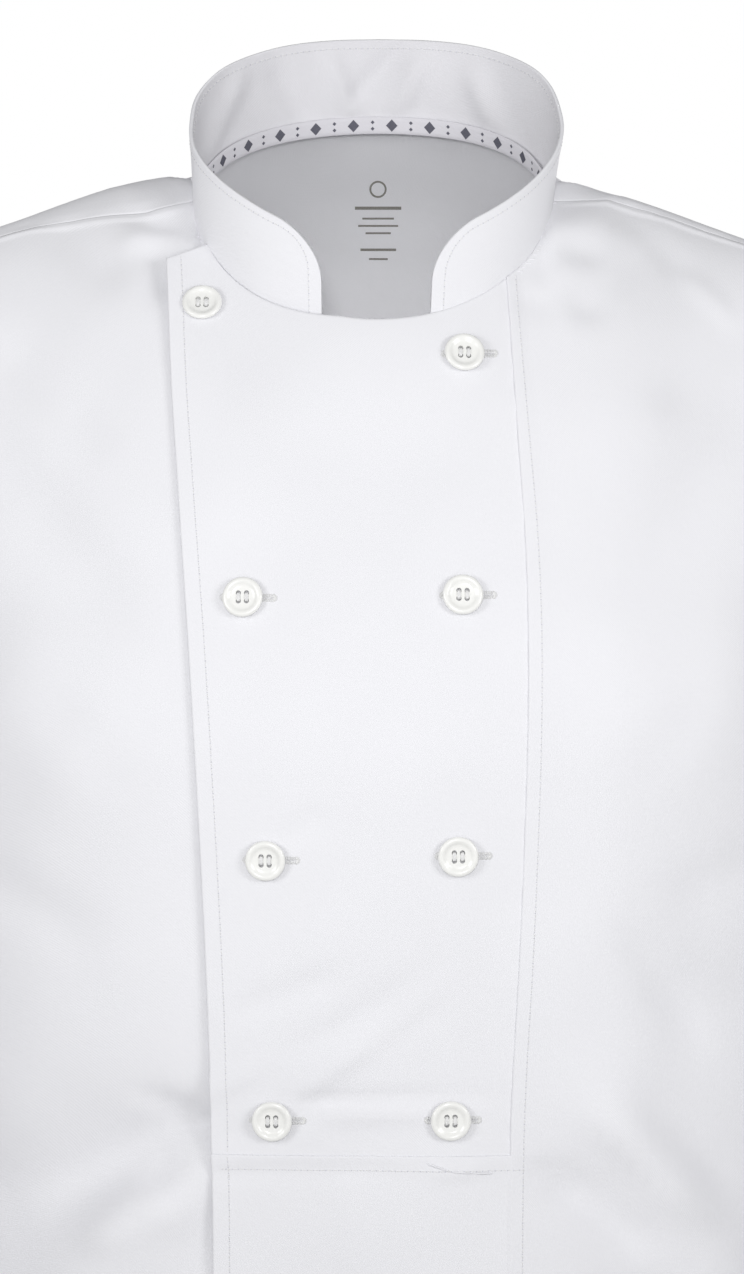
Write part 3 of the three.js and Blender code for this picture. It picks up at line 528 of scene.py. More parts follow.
def smooth(x, low, high):
    """0 below low, 1 above high, and a smooth rise between."""
    t = np.clip((x - low) / (high - low), 0, 1)
    return t * t * (3 - 2 * t)


def lerp(a, b, t):
    return a + (b - a) * t


def curve(rows, by, key, at):
    """The value of a table's column where another column has the value at, on a smooth curve."""
    xs, ys = rows[by], rows[key]
    at = np.clip(at, xs[0], xs[-1])
    i = np.clip(np.searchsorted(xs, at, side="left") - 1, 0, len(xs) - 2)
    before = np.maximum(np.arange(len(xs)) - 1, 0)
    after = np.minimum(np.arange(len(xs)) + 1, len(xs) - 1)
    slope = (ys[after] - ys[before]) / (xs[after] - xs[before])
    step = xs[i + 1] - xs[i]
    t = (at - xs[i]) / step
    rest = 1 - t
    held = ys[i] * rest**2 * (1 + 2 * t) + ys[i + 1] * t**2 * (1 + 2 * rest)
    return held + slope[i] * step * t * rest**2 - slope[i + 1] * step * t**2 * rest


def unit(v):
    return v / np.maximum(np.linalg.norm(v, axis=-1, keepdims=True), 1e-9)


def run_along(path):
    """The distance of each point of a path from its start, along the path."""
    return np.concatenate([[0], np.cumsum(np.linalg.norm(np.diff(path, axis=0), axis=1))])


def circle(sides):
    """The cosines and sines of even steps round a circle."""
    turn = np.arange(sides) * 2 * np.pi / sides
    return np.cos(turn), np.sin(turn)


def ridge(back, x):
    """The height of the shoulder ridge, or of the cloth behind the neck, over x."""
    neck = np.clip(1 - (x / NECK_HALF) ** 2, 0, 1)
    rise = np.where(back, NAPE_RISE * neck**1.5, 0)
    past = np.abs(x) - lerp(SLOPE_FROM["right"], SLOPE_FROM["left"], smooth(x, *SLOPE_BLEND_X))
    return RIDGE_TOP - SHOULDER_SLOPE * (past + np.hypot(past, SLOPE_EASE)) / 2 + rise


def half_width(up):
    z = UNDERARM_Z + np.minimum(up, 0)
    return lerp(curve(BODY, "z", "half", z), SHOULDER_FORM_HALF, np.clip(up, 0, 1) ** 1.5)


def of_side(values, back):
    return np.where(back, values["back"], values["front"])


def form_point(back, turn, up):
    """A point of the form. Where up passes 1 it comes down on the other side of the ridge."""
    back = np.logical_xor(back, up > 1)
    up = np.where(up > 1, 2 - up, up)
    power = 2 / of_side(ROUNDNESS, back)
    x = half_width(up) * np.sign(turn) * np.abs(np.sin(turn)) ** power
    share = np.sin(np.clip(up, 0, 1) * np.pi * 0.5)
    z = UNDERARM_Z + np.minimum(up, 0) + (ridge(back, x) - UNDERARM_Z) * share
    low = UNDERARM_Z + np.minimum(up, 0)
    depth = np.where(back, curve(BODY, "z", "back", low), curve(BODY, "z", "front", low))
    arch = np.maximum(1 - share ** of_side(RISE, back), 0) ** (1 / of_side(CREST, back))
    y = np.where(back, 1, -1) * depth * np.maximum(np.cos(turn), 0) ** power * arch
    return np.stack(np.broadcast_arrays(x, y, z), -1)


def turn_at(back, x, up):
    """The turn at which the form has the given x."""
    share = np.clip(np.abs(x) / half_width(np.where(up > 1, 2 - up, up)), 0, 1)
    return np.sign(x) * np.arcsin(share ** (of_side(ROUNDNESS, np.logical_xor(back, up > 1)) / 2))


def up_near(back, points):
    """For each point, the up at which the form, followed at the point's x, passes nearest to it."""
    ups = np.arange(*SEARCHED_UPS)[:, None]
    x = np.broadcast_to(points[:, 0], (len(ups), len(points)))
    found = form_point(back, turn_at(back, x, ups), ups)
    gap = np.linalg.norm(found - points, axis=-1)
    return ups[np.argmin(gap, 0), 0]


def neck_point(degrees):
    """The neckline at an angle round the neck, 0 in front and 180 behind."""
    angle = np.radians(degrees)
    ahead = np.cos(angle)
    right = np.where((degrees < 0) & (degrees > -90), np.sin(-2 * angle), 0)
    drop = RIGHT_NECK_DROP * np.maximum(right, 0) ** 1.5
    turn = np.abs((degrees + 180) % 360 - 180)
    corner = NECK_CORNER["high"] * np.exp(-(((turn - SHOULDER_SEAM_DEG) / NECK_CORNER["wide"]) ** 2))
    z = NECK_SIDE_Z - NECK_FALL * ahead - NECK_SAG * ahead**2 - drop + corner
    aside = np.sin(angle)
    half = NECK_HALF - np.where(aside > 0, NECK_IN["left"], NECK_IN["right"]) * np.abs(aside)
    return np.stack([half * aside, NECK_CENTRE_Y - NECK_HALF_DEPTH * ahead, z], -1)


def shoulder_point(x):
    """The point of the shoulder seam at x."""
    ahead = np.where(x > 0, *[curve(SEAM_AHEAD[hand], "x", "ahead", np.abs(x)) for hand in (1, -1)])
    low, high = np.full_like(x, 0.5), np.ones_like(x)
    for _ in range(HALVINGS):
        up = (low + high) / 2
        before = form_point(False, turn_at(False, x, up), up)[..., 1] < -ahead
        low, high = np.where(before, up, low), np.where(before, high, up)
    return form_point(False, turn_at(False, x, low), low)


def edge_turn(rows, hand, up):
    """The turn of an edge that is drawn in the front view."""
    x = hand * rows["x"][-1] + 0 * up
    for _ in range(EDGE_ROUNDS):
        z = form_point(False, turn_at(False, x, up), up)[..., 2]
        x = hand * curve(rows, "z", "x", z)
    return turn_at(False, x, up)


def side_turn(back, hand, up):
    """The turn of the side seam or the armhole."""
    x = hand * curve(ARMHOLE, "up", "x", np.where(up > 1, 2 - up, up))
    return np.where(up <= 0, hand * np.pi * 0.5, turn_at(back, x, np.maximum(up, 0)))


def lift_of(folds, x, z):
    """How far a table of folds lifts the cloth at points seen at x and z."""
    lift = np.zeros_like(x, dtype=float)
    for x0, z0, x1, z1, wide, high in zip(*folds.values()):
        run = np.hypot(x1 - x0, z1 - z0)
        along = ((x - x0) * (x1 - x0) + (z - z0) * (z1 - z0)) / run**2
        aside = ((x - x0) * (z1 - z0) - (z - z0) * (x1 - x0)) / run
        taper = smooth(along, *FOLD_RISE) * (1 - smooth(along, *FOLD_FALL))
        lift += high * taper * np.exp(-((aside / wide) ** 2))
    return lift


def waves(seed, points, sizes, heights):
    """Soft uneven waves in space: sums of sines in directions chosen by the seed."""
    rng = np.random.default_rng(seed)
    total = np.zeros(points.shape[:-1])
    for size, height in zip(sizes, heights):
        for _ in range(5):
            way = unit(rng.normal(size=3))
            phase = rng.uniform(0, 2 * np.pi)
            total += height / 3 * np.sin(2 * np.pi * (points @ way) / size + phase)
    return total


# Levels of a panel, from the hem to its top edge
SKIRT = np.linspace(HEM_Z - UNDERARM_Z, BIB_BOTTOM_Z - UNDERARM_Z, round(SKIRT_HIGH / CELL))
WAIST = np.linspace(BIB_BOTTOM_Z - UNDERARM_Z, 0, round(WAIST_HIGH / CELL))
CHEST = 1 - (1 - np.linspace(0, 1, round(CHEST_HIGH / CELL))) ** CHEST_CROWD
SKIRT_ROWS = len(SKIRT) - 1


def panel(back, tops, low, start, end):
    """A panel's grid of points. Its columns start a share low of the way from one edge to the
    other and end at the points tops; start and end give the edges' turns."""
    top_up = up_near(back, tops)
    top_turn = turn_at(back, tops[:, 0], top_up)
    high = (top_turn - start(top_up)) / (end(top_up) - start(top_up))
    pull = tops - form_point(back, top_turn, top_up)
    below = np.concatenate([SKIRT[:-1], WAIST[:-1]])[:, None] + 0 * top_up
    up = np.concatenate([below, CHEST[:, None] * top_up])
    share = np.concatenate([0 * below, CHEST[:, None] + 0 * top_up])
    turn = lerp(start(up), end(up), lerp(low, high, smooth(share, 0, 1)))
    point = form_point(back, turn, up)
    across = form_point(back, turn + SMALL_TURN, up) - form_point(back, turn - SMALL_TURN, up)
    rise = form_point(back, turn, up + SMALL_UP) - form_point(back, turn, up - SMALL_UP)
    normal = unit(np.cross(across, rise)) * (-1 if back else 1)
    x, z = point[..., 0], point[..., 2]
    in_front = (up > 1) | (not back)
    lift = np.where(in_front, lift_of(FRONT_FOLDS, x, z), lift_of(BACK_FOLDS, x, z))
    return point + normal * lift[..., None] + pull * smooth(share, *TOP_PULL)[..., None]


def tops_through(knots, counts, between):
    """The tops of a panel's columns: knots are the frame's tops, counts the columns in each span,
    and between gives the top at a fractional knot. Returns the tops and their knot numbers."""
    places = np.concatenate(
        [np.linspace(k, k + 1, count, endpoint=False) for k, count in enumerate(counts)] + [[knots]]
    )
    return np.array([between(p) for p in places]), places


def shoulder_top(hand, step):
    """The top of a shoulder column. Between the neck and the first step it runs straight."""
    x = lerp(NECK_HALF, TIP_X, max(step, 1) / SHOULDER_STEPS)
    point = shoulder_point(np.array([hand * x]))[0]
    if step >= 1:
        return point
    return lerp(neck_point(np.array([hand * SHOULDER_SEAM_DEG]))[0], point, step)


def front_top(hand, knot, corner_y):
    """The top of a front's column at a fractional knot, counted from the overlap's edge."""
    seam_deg = math.degrees(math.asin(BIB_SEAM["x"][-1] / NECK_HALF))
    step_deg = math.degrees(math.asin(OVERLAP_STEP_X / NECK_HALF))
    in_neck = BIB_NECK_STEPS + 1 + SIDE_NECK_STEPS
    if knot > in_neck:
        return shoulder_top(hand, knot - in_neck)
    if knot > BIB_NECK_STEPS + 1:
        degrees = lerp(seam_deg, SHOULDER_SEAM_DEG, (knot - BIB_NECK_STEPS - 1) / SIDE_NECK_STEPS)
    else:
        degrees = lerp(step_deg, seam_deg, (max(knot, 1) - 1) / BIB_NECK_STEPS)
    point = neck_point(np.array([hand * degrees]))[0]
    free = smooth(-degrees, *FREE_EDGE_DEG)
    point[2] += BIB_OVER_SEAM * free if hand > 0 else -UNDERLAP_BELOW_NECK * free
    if knot >= 1:
        return point
    corner = np.array([hand * OVERLAP_EDGE["x"][-1], corner_y, OVERLAP_CORNER_Z])
    return lerp(corner, point, knot)


def form_depth(x, z):
    """The y of the plain form at an x and z of the front view."""
    share = (z - UNDERARM_Z) / (ridge(False, x) - UNDERARM_Z)
    up = np.arcsin(share) * 2 / np.pi
    return form_point(False, turn_at(False, x, up), up)[..., 1]


def front_panel(hand, corner_y):
    """One front with its overlap, as a grid, with the number of the column on the bib's seam."""
    inside = BIB_NECK_STEPS + 1
    counts = [round(BIB_SPAN / CELL)] * inside
    counts += [round(SIDE_NECK_SPAN / CELL)] * SIDE_NECK_STEPS
    counts += [round(SHOULDER_SPAN / CELL)] * SHOULDER_STEPS
    knots = len(counts)
    tops, places = tops_through(knots, counts, lambda p: front_top(hand, p, corner_y))
    seam = sum(counts[:inside])

    def overlap(up):
        return edge_turn(OVERLAP_EDGE, hand, up)

    def bib_seam(up):
        return edge_turn(BIB_SEAM, hand, up)

    def side(up):
        return side_turn(False, hand, up)

    bib = panel(False, tops[: seam + 1], places[: seam + 1] / inside, overlap, bib_seam)
    low = (places[seam:] - inside) / (knots - inside)
    rest = panel(False, tops[seam:], low, bib_seam, side)
    return np.concatenate([bib, rest[:, 1:]], 1), seam


def back_panel():
    """The back, from the wearer's right side to the left one."""
    shoulder = [round(SHOULDER_SPAN / CELL)] * SHOULDER_STEPS
    counts = shoulder + [round(BACK_NECK_SPAN / CELL)] * BACK_NECK_STEPS + shoulder
    knots = len(counts)
    last_neck = SHOULDER_STEPS + BACK_NECK_STEPS

    def top(knot):
        if knot < SHOULDER_STEPS:
            return shoulder_top(-1, SHOULDER_STEPS - knot)
        if knot > last_neck:
            return shoulder_top(1, knot - last_neck)
        share = (knot - SHOULDER_STEPS) / BACK_NECK_STEPS
        return neck_point(np.array([lerp(360 - SHOULDER_SEAM_DEG, SHOULDER_SEAM_DEG, share)]))[0]

    tops, places = tops_through(knots, counts, top)
    edges = [lambda up, hand=hand: side_turn(True, hand, up) for hand in (-1, 1)]
    return panel(True, tops, places / knots, *edges)


def grid_normals(grid, ring=False):
    """The normals of a grid, columns across rows. A ring grid closes on itself along its rows."""
    if ring:
        along = np.roll(grid, -1, 1) - np.roll(grid, 1, 1)
    else:
        along = np.gradient(grid, axis=1)
    return unit(np.cross(along, np.gradient(grid, axis=0)))


def over_lift(grid):
    """How far the left front lies over the right one."""
    x, z = grid[..., 0], grid[..., 2]
    beside = 1 - smooth(x, *LAP_ENDS_X)
    below = np.where(x > LAP_NECK_X, 1 - smooth(z, *LAP_ENDS_Z), 1)
    return (CLOTH + LAYER_GAP) * beside * below


def edge_distance(grid, edge):
    """The distance of each point of a grid from one of its edges, measured along the cloth."""
    axis = 1 if edge in ("first", "last") else 0
    steps = np.linalg.norm(np.diff(grid, axis=axis), axis=-1)
    zero = np.zeros((grid.shape[0], 1)) if axis == 1 else np.zeros((1, grid.shape[1]))
    length = np.concatenate([zero, np.cumsum(steps, axis)], axis)
    if edge in ("first", "bottom"):
        return length
    total = length[:, -1:] if axis == 1 else length[-1:]
    return total - length


def pucker(grid, edges, seed, height=0.35, reach=7):
    """Small uneven ripples beside sewn edges."""
    lift = np.zeros(grid.shape[:-1])
    for k, edge in enumerate(edges):
        near = np.exp(-((edge_distance(grid, edge) / reach) ** 2))
        ripple = waves(seed + k, grid, *PUCKER_WAVES)
        lift += height * near * ripple
    return lift


def sample(grid, rows, columns):
    """The points of a grid at fractional rows and columns."""
    rows = np.clip(rows, 0, grid.shape[0] - 1.0001)
    columns = np.clip(columns, 0, grid.shape[1] - 1.0001)
    i, j = rows.astype(int), columns.astype(int)
    s, t = (rows - i)[:, None], (columns - j)[:, None]
    near = lerp(grid[i, j], grid[i, j + 1], t)
    return lerp(near, lerp(grid[i + 1, j], grid[i + 1, j + 1], t), s)


def inset_line(grid, edge, distance, start=0, end=None):
    """Fractional rows and columns of a line on the cloth, at a distance from an edge."""
    away = edge_distance(grid, edge)
    if edge in ("bottom", "top"):
        away = away.T
    if edge in ("last", "top"):
        away = away[:, ::-1]
    places = np.array([np.interp(distance, line, np.arange(len(line))) for line in away])
    if edge in ("last", "top"):
        places = away.shape[1] - 1 - places
    lines = np.arange(len(places))[start:end]
    places = places[start:end]
    return (lines, places) if edge in ("first", "last") else (places, lines)


def edged(grid, edges):
    """The grid with one more line close beside each named edge, so that only the edge is rounded."""
    for edge in edges:
        axis = 0 if edge in ("bottom", "top") else 1
        grid = add_line(grid, axis, 0 if edge in ("bottom", "first") else grid.shape[axis] - 1, edge)
    return grid


def add_line(grid, axis, index, side):
    """A grid with a new line EDGE_LINE millimetres from line index, before or after it."""
    step = 1 if side in ("bottom", "first", "after") else -1
    here, there = np.take(grid, index, axis), np.take(grid, index + step, axis)
    share = EDGE_LINE / np.linalg.norm(there - here, axis=-1, keepdims=True)
    return np.insert(grid, index + (step > 0), lerp(here, there, share), axis)


def point_in_view(grid, normals, x, z):
    """The point and normal of a front grid seen at x and z from the front."""
    away = np.hypot(grid[..., 0] - x, grid[..., 2] - z)
    i, j = np.unravel_index(np.argmin(away), away.shape)
    i = np.clip(i, 1, grid.shape[0] - 2)
    j = np.clip(j, 1, grid.shape[1] - 2)
    du = (grid[i, j + 1] - grid[i, j - 1]) / 2
    dv = (grid[i + 1, j] - grid[i - 1, j]) / 2
    off = np.array([x, z]) - grid[i, j, [0, 2]]
    u, v = np.linalg.solve(np.array([[du[0], dv[0]], [du[2], dv[2]]]), off)
    return grid[i, j] + u * du + v * dv, normals[i, j]


def points_in_view(grid, normals, places):
    """The points and normals of a front grid at places of the front view, as two arrays."""
    found = [point_in_view(grid, normals, x, z) for x, z in places]
    return np.array([point for point, _ in found]), np.array([normal for _, normal in found])


def put(name, data):
    """An object that holds the data, in the scene."""
    obj = bpy.data.objects.new(name, data)
    bpy.context.scene.collection.objects.link(obj)
    return obj


def add_mesh(name, points, faces, material, slot="body_cloth"):
    """Makes a piece of points in millimetres, which rides on the jacket."""
    mesh = bpy.data.meshes.new(name)
    faces = faces.tolist() if isinstance(faces, np.ndarray) else faces
    mesh.from_pydata((np.asarray(points).reshape(-1, 3) * MM).tolist(), [], faces)
    mesh.materials.append(material)
    mesh.polygons.foreach_set("use_smooth", [True] * len(mesh.polygons))
    mesh.update()
    obj = put(name, mesh)
    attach(obj, "root")
    return obj


# The sides of a grid cell, anticlockwise: the step to the neighbour beyond, and the two ends
CELL_SIDES = (
    ((-1, 0), (0, 0), (0, 1)),
    ((0, 1), (0, 1), (1, 1)),
    ((1, 0), (1, 1), (1, 0)),
    ((0, -1), (1, 0), (0, 0)),
)


def shell_of(outer, inner, ring, keep):
    """Points and quads of a closed shell between two grids, with a rounded rim."""
    rows, columns = outer.shape[:2]
    layer = rows * columns
    kept = np.ones((rows - 1, columns if ring else columns - 1), bool) if keep is None else keep
    around = np.pad(kept, 1)
    if ring:
        around[:, 0], around[:, -1] = around[:, -2], around[:, 1]
    i, j = np.nonzero(kept)
    k = (j + 1) % columns
    cell = [i * columns + j, i * columns + k, (i + 1) * columns + k, (i + 1) * columns + j]
    faces = [np.stack(cell, 1), np.stack(cell[::-1], 1) + 2 * layer]
    spread = np.zeros_like(outer)
    for (up, right), first, second in CELL_SIDES:
        beyond = around[1 + up : rows + up, 1 + right : kept.shape[1] + 1 + right]
        i, j = np.nonzero(kept & ~beyond)
        ends = []
        for di, dj in (first, second):
            a, b = i + di, (j + dj) % columns
            np.add.at(spread, (a, b), outer[a, b] - outer[a - up, (b - right) % columns])
            ends.append(a * columns + b)
        a, b = ends
        for near, far in ((2 * layer, layer), (layer, 0)):
            faces.append(np.stack([a + near, b + near, b + far, a + far], 1))
    reach = np.linalg.norm(outer - inner, axis=-1, keepdims=True) * RIM_ROUNDING
    middle = (outer + inner) / 2 + unit(spread) * np.where(spread.any(-1, keepdims=True), reach, 0)
    points = np.concatenate([face.reshape(-1, 3) for face in (outer, middle, inner)])
    faces = np.concatenate(faces)
    used = np.unique(faces)
    renumber = np.zeros(len(points), int)
    renumber[used] = np.arange(len(used))
    return points[used], renumber[faces]


def cloth_piece(name, outer, normals, thick=SHELL, ring=False, keep=None, flip=False):
    """A thin closed shell whose outer face is a grid of points; the frame's part that it replaces is
    hidden.
    """
    points, faces = shell_of(outer, outer - normals * thick, ring, keep)
    material, slot = (SHADED_TAPE, "tape_cloth") if name == "neck_tape_band" else (WHITE, "body_cloth")
    piece = add_mesh(name, points, faces[:, ::-1] if flip else faces, material, slot)
    node, width, length, share, rests_on = CLOTHS[name]
    if node:
        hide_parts(node)
    return piece


def ring_quads(rings, sides):
    """The quads between rings of points, each ring with so many points."""
    i, j = np.meshgrid(np.arange(rings - 1), np.arange(sides), indexing="ij")
    k = (j + 1) % sides
    quads = [i * sides + j, i * sides + k, (i + 1) * sides + k, (i + 1) * sides + j]
    return np.stack([q.ravel() for q in quads], 1)


def ladder(count):
    """The quads between the rungs of a ladder, each rung a pair of points."""
    return 2 * np.arange(count)[:, None] + (0, 2, 3, 1)


# The order of a quad's corners that turns it over and keeps its first corner
TURNED = [0, 3, 2, 1]


def stitch_shape():
    """One stitch along +X that bulges on +Z: its points, and its faces."""
    across, up = circle(STITCH_SIDES)
    rings = [
        np.stack([along + 0 * up, girth * across, height + girth * up], 1)
        for along, height, girth in STITCH_STATIONS
    ]
    return np.concatenate(rings), ring_quads(len(rings), STITCH_SIDES)[:, TURNED]


STITCH_POINTS, STITCH_FACES = stitch_shape()


def stitch_run(starts, ends, normals, radius=STITCH_RADIUS):
    """Points and faces of stitches from starts to ends, lying on cloth with the given normals."""
    way = ends - starts
    length = np.linalg.norm(way, axis=1, keepdims=True)
    way = way / length
    side = unit(np.cross(normals, way))
    along, across, out = STITCH_POINTS.T
    points = (starts + ends)[:, None] / 2 + way[:, None] * (along[:, None] * length[:, None])
    points = points + side[:, None] * (across[:, None] * radius)
    points = points + normals[:, None] * (out[:, None] * radius)
    first = np.arange(len(starts))[:, None, None] * len(STITCH_POINTS)
    return points.reshape(-1, 3), (STITCH_FACES[None] + first).reshape(-1, 4)


def along_line(path, normals, pitch, length):
    """Starts, ends and normals of even stitches along a path."""
    run = run_along(path)
    starts = np.arange(pitch / 2, run[-1] - length, pitch)

    def at(places, values):
        return np.stack([np.interp(places, run, values[:, k]) for k in range(3)], 1)

    return at(starts, path), at(starts + length, path), unit(at(starts, normals))


def join(parts):
    """Several sets of points and faces as one."""
    points, faces, count = [], [], 0
    for part_points, part_faces in parts:
        points.append(part_points)
        faces.append(part_faces + count)
        count += len(part_points)
    return np.concatenate(points), np.concatenate(faces)


def line_on(grid, normals, rows, columns, lift=0):
    """A line on a grid, as its points and normals."""
    rows, columns = np.asarray(rows, float), np.asarray(columns, float)
    normal = unit(sample(normals, rows, columns))
    return sample(grid, rows, columns) + normal * lift, normal


def material_of(name, color, roughness, **more):
    """A Principled material, its node tree and its shader; more names further inputs."""
    material = bpy.data.materials.new(name)
    material.use_nodes = True
    tree = material.node_tree
    shader = tree.nodes["Principled BSDF"]
    shader.inputs["Base Color"].default_value = (*color, 1)
    shader.inputs["Roughness"].default_value = roughness
    for key, value in more.items():
        shader.inputs[key.replace("_", " ")].default_value = value
    tree.nodes.new("ShaderNodeTexCoord")
    return material, tree, shader


def texture(tree, kind, **inputs):
    """A texture in the space of the object."""
    node = tree.nodes.new(kind)
    for key, value in inputs.items():
        node.inputs[key].default_value = value
    tree.links.new(tree.nodes["Texture Coordinate"].outputs["Object"], node.inputs["Vector"])
    return node


def noise(tree, scale, detail):
    return texture(tree, "ShaderNodeTexNoise", Scale=scale, Detail=detail)


def bands(tree, spacing, distortion):
    """Diagonal bands, their spacing in metres."""
    node = texture(tree, "ShaderNodeTexWave", Scale=math.pi / 10 / spacing, Distortion=distortion)
    node.bands_direction = "DIAGONAL"
    return node


def relief(tree, shader, heights, strength):
    """Stacks bumps, each a texture node and its depth in metres, on a shader."""
    below = None
    for height, depth in heights:
        bump = tree.nodes.new("ShaderNodeBump")
        bump.inputs["Strength"].default_value = strength
        bump.inputs["Distance"].default_value = depth
        tree.links.new(height.outputs["Fac"], bump.inputs["Height"])
        if below is not None:
            tree.links.new(below.outputs["Normal"], bump.inputs["Normal"])
        below = bump
    tree.links.new(below.outputs["Normal"], shader.inputs["Normal"])


def tinted(tree, shader, pattern, color, shades):
    """Drives a shader's colour between two shades of a colour by a texture."""
    ramp = tree.nodes.new("ShaderNodeValToRGB")
    for stop, shade, place in zip(ramp.color_ramp.elements, shades, (0.3, 0.7)):
        stop.color = (*[shade * c for c in color], 1)
        stop.position = place
    tree.links.new(pattern.outputs["Fac"], ramp.inputs["Fac"])
    tree.links.new(ramp.outputs["Color"], shader.inputs["Base Color"])


def cloth_material(name, color, thread, depth):
    """Matt woven cloth: a fine twill, small uneven lumps, a trace of fuzz and uneven whiteness."""
    material, tree, shader = material_of(name, color, 0.88, Specular_IOR_Level=0.25, Sheen_Weight=0.1)
    twill = bands(tree, spacing=thread, distortion=1.5)
    lumps = noise(tree, scale=900, detail=3)
    relief(tree, shader, ((lumps, 2 * depth), (twill, depth)), strength=0.35)
    tinted(tree, shader, noise(tree, scale=14, detail=2), color, shades=(0.985, 1.01))
    return material


def plastic_material(name, color):
    """Glossy moulded plastic with faint flow marks."""
    material, tree, shader = material_of(name, color, 0.25, Coat_Weight=0.3, Coat_Roughness=0.12)
    flow = noise(tree, scale=260, detail=2)
    relief(tree, shader, ((flow, 0.0002),), strength=0.12)
    tinted(tree, shader, flow, color, shades=(0.98, 1))
    return material


def thread_material(name, color):
    """Twisted thread, its strands as fine bands."""
    material, tree, shader = material_of(name, color, 0.6)
    twist = bands(tree, spacing=0.0004, distortion=0.5)
    relief(tree, shader, ((twist, 0.0001),), strength=0.4)
    tinted(tree, shader, twist, color, shades=(0.9, 1))
    return material


def mottled_material(name, color, roughness):
    """A plain, slightly uneven colour, for ink, the floor, the shadow in a slit and the painted shade of
    needle holes.
    """
    material, tree, shader = material_of(name, color, roughness)
    grain = noise(tree, scale=1500, detail=2)
    relief(tree, shader, ((grain, 0.0001),), strength=0.2)
    tinted(tree, shader, grain, color, shades=(0.85, 1.1))
    return material


WHITE = cloth_material("white_cloth", (0.795, 0.795, 0.825), 0.0006, 0.0001)
# The collar's inner face: the same white cloth made greyer, as painted shade inside the collar.
INSIDE_SHADE_CLOTH = cloth_material("collar_inside_painted_shade", (0.715, 0.71, 0.74), 0.0006, 0.0001)
# The neck tape: a little greyer than the body cloth, and darker still as painted shade inside the neck.
SHADED_TAPE = cloth_material("woven_tape_painted_shade", (0.69, 0.68, 0.72), 0.0007, 0.0001)
THREAD = thread_material("white_thread", (0.80, 0.80, 0.80))
PLASTIC = plastic_material("button_plastic", (0.84, 0.84, 0.82))
MOTIF = mottled_material("tape_motif_thread", (0.10, 0.10, 0.13), 0.7)
INK = mottled_material("grey_ink", (0.25, 0.24, 0.22), 0.8)
# Grey patches between stitches: painted shade of the needle holes.
NEEDLE_HOLE_SHADE = mottled_material("needle_hole_painted_shade", (0.6, 0.6, 0.65), 0.9)
SHADOW = mottled_material("buttonhole_slit", (0.5, 0.5, 0.51), 0.9)


def set_camera():
    data = bpy.data.cameras.new("camera")
    data.sensor_width = 36
    data.lens = CAMERA_LENS
    data.clip_end = 20
    camera = put("camera", data)
    rise, turn = math.radians(CAMERA_ELEVATION), math.radians(CAMERA_TURN)
    back = Vector((-math.sin(turn) * math.cos(rise), -math.cos(turn) * math.cos(rise), math.sin(rise)))
    camera.location = (Vector(CAMERA_TARGET) + back * CAMERA_DISTANCE) * MM
    camera.rotation_euler = (-back).to_track_quat("-Z", "Y").to_euler()
    bpy.context.scene.camera = camera


def set_surround():
    """A white surround that is brighter in front, and that the camera sees as plain white."""
    scene = bpy.context.scene
    world = bpy.data.worlds.new("white surround")
    world.use_nodes = True
    background = world.node_tree.nodes["Background"]
    background.inputs["Color"].default_value = (1, 1, 1, 1)
    nodes, links = world.node_tree.nodes, world.node_tree.links
    lean = nodes.new("ShaderNodeVectorMath")
    lean.operation = "DOT_PRODUCT"
    lean.inputs[1].default_value = (0, -SURROUND_LEAN["back"], -SURROUND_LEAN["up"])
    links.new(nodes.new("ShaderNodeTexCoord").outputs["Generated"], lean.inputs[0])
    level = nodes.new("ShaderNodeMath")
    level.inputs[1].default_value = SURROUND_LIGHT
    links.new(lean.outputs["Value"], level.inputs[0])
    seen = nodes.new("ShaderNodeMix")
    seen.inputs["B"].default_value = 1
    links.new(nodes.new("ShaderNodeLightPath").outputs["Is Camera Ray"], seen.inputs["Factor"])
    links.new(level.outputs["Value"], seen.inputs["A"])
    links.new(seen.outputs["Result"], background.inputs["Strength"])
    scene.world = world
    scene.view_settings.view_transform = "Standard"


def set_floor():
    """A plain pale floor below the jacket."""
    mesh = bpy.data.meshes.new("floor")
    half = FLOOR_HALF * MM
    corners = [(x * half, y * half, FLOOR_Z * MM) for x, y in ((-1, -1), (1, -1), (1, 1), (-1, 1))]
    mesh.from_pydata(corners, [], [(0, 1, 2, 3)])
    mesh.materials.append(mottled_material("pale_floor", (0.78, 0.78, 0.78), 0.9))
    put("floor", mesh)


def set_lamps():
    for name, place, size, power in LAMPS:
        data = bpy.data.lights.new(name, "AREA")
        data.size = size
        data.energy = power
        hang_lamp(data, place, LAMP_TARGET)
    for name, spot in (("front_spot", SPOT), ("inner_spot", INNER_SPOT)):
        data = bpy.data.lights.new(name, "SPOT")
        data.energy = spot["power"]
        data.shadow_soft_size = spot["radius"]
        data.spot_size = math.radians(spot["angle"])
        data.spot_blend = spot["blend"]
        hang_lamp(data, spot["place"], spot["target"])


def hang_lamp(data, place, target):
    lamp = put(data.name, data)
    lamp.location = place
    lamp.rotation_euler = (Vector(target) - lamp.location).to_track_quat("-Z", "Y").to_euler()


def front_relief(points, beside=LEFT_CREASES):
    """Creases and soft unevenness of a front, calm under each button. Beyond the overlap's edge
    they come from the table beside."""
    x, z = points[..., 0], points[..., 2]
    lift = lerp(lift_of(beside, x, z), lift_of(LEFT_CREASES, x, z), smooth(x, *OVERLAP_BLEND_X))
    lift = lift + waves(11, points, *BODY_WAVES)
    for button_x, button_z in BUTTONS.values():
        lift *= 1 - np.exp(-(((x - button_x) ** 2 + (z - button_z) ** 2) / BUTTON_CALM**2))
    return lift


def shoulder_welt(grid):
    """The seam along the shoulder stands up as a narrow ridge on the front."""
    away = edge_distance(grid, "top")
    begins = smooth(np.abs(grid[..., 0]), *WELT_BEGINS_X)
    return WELT * np.exp(-(((away - WELT_FROM_EDGE) / WELT_WIDE) ** 2)) * begins


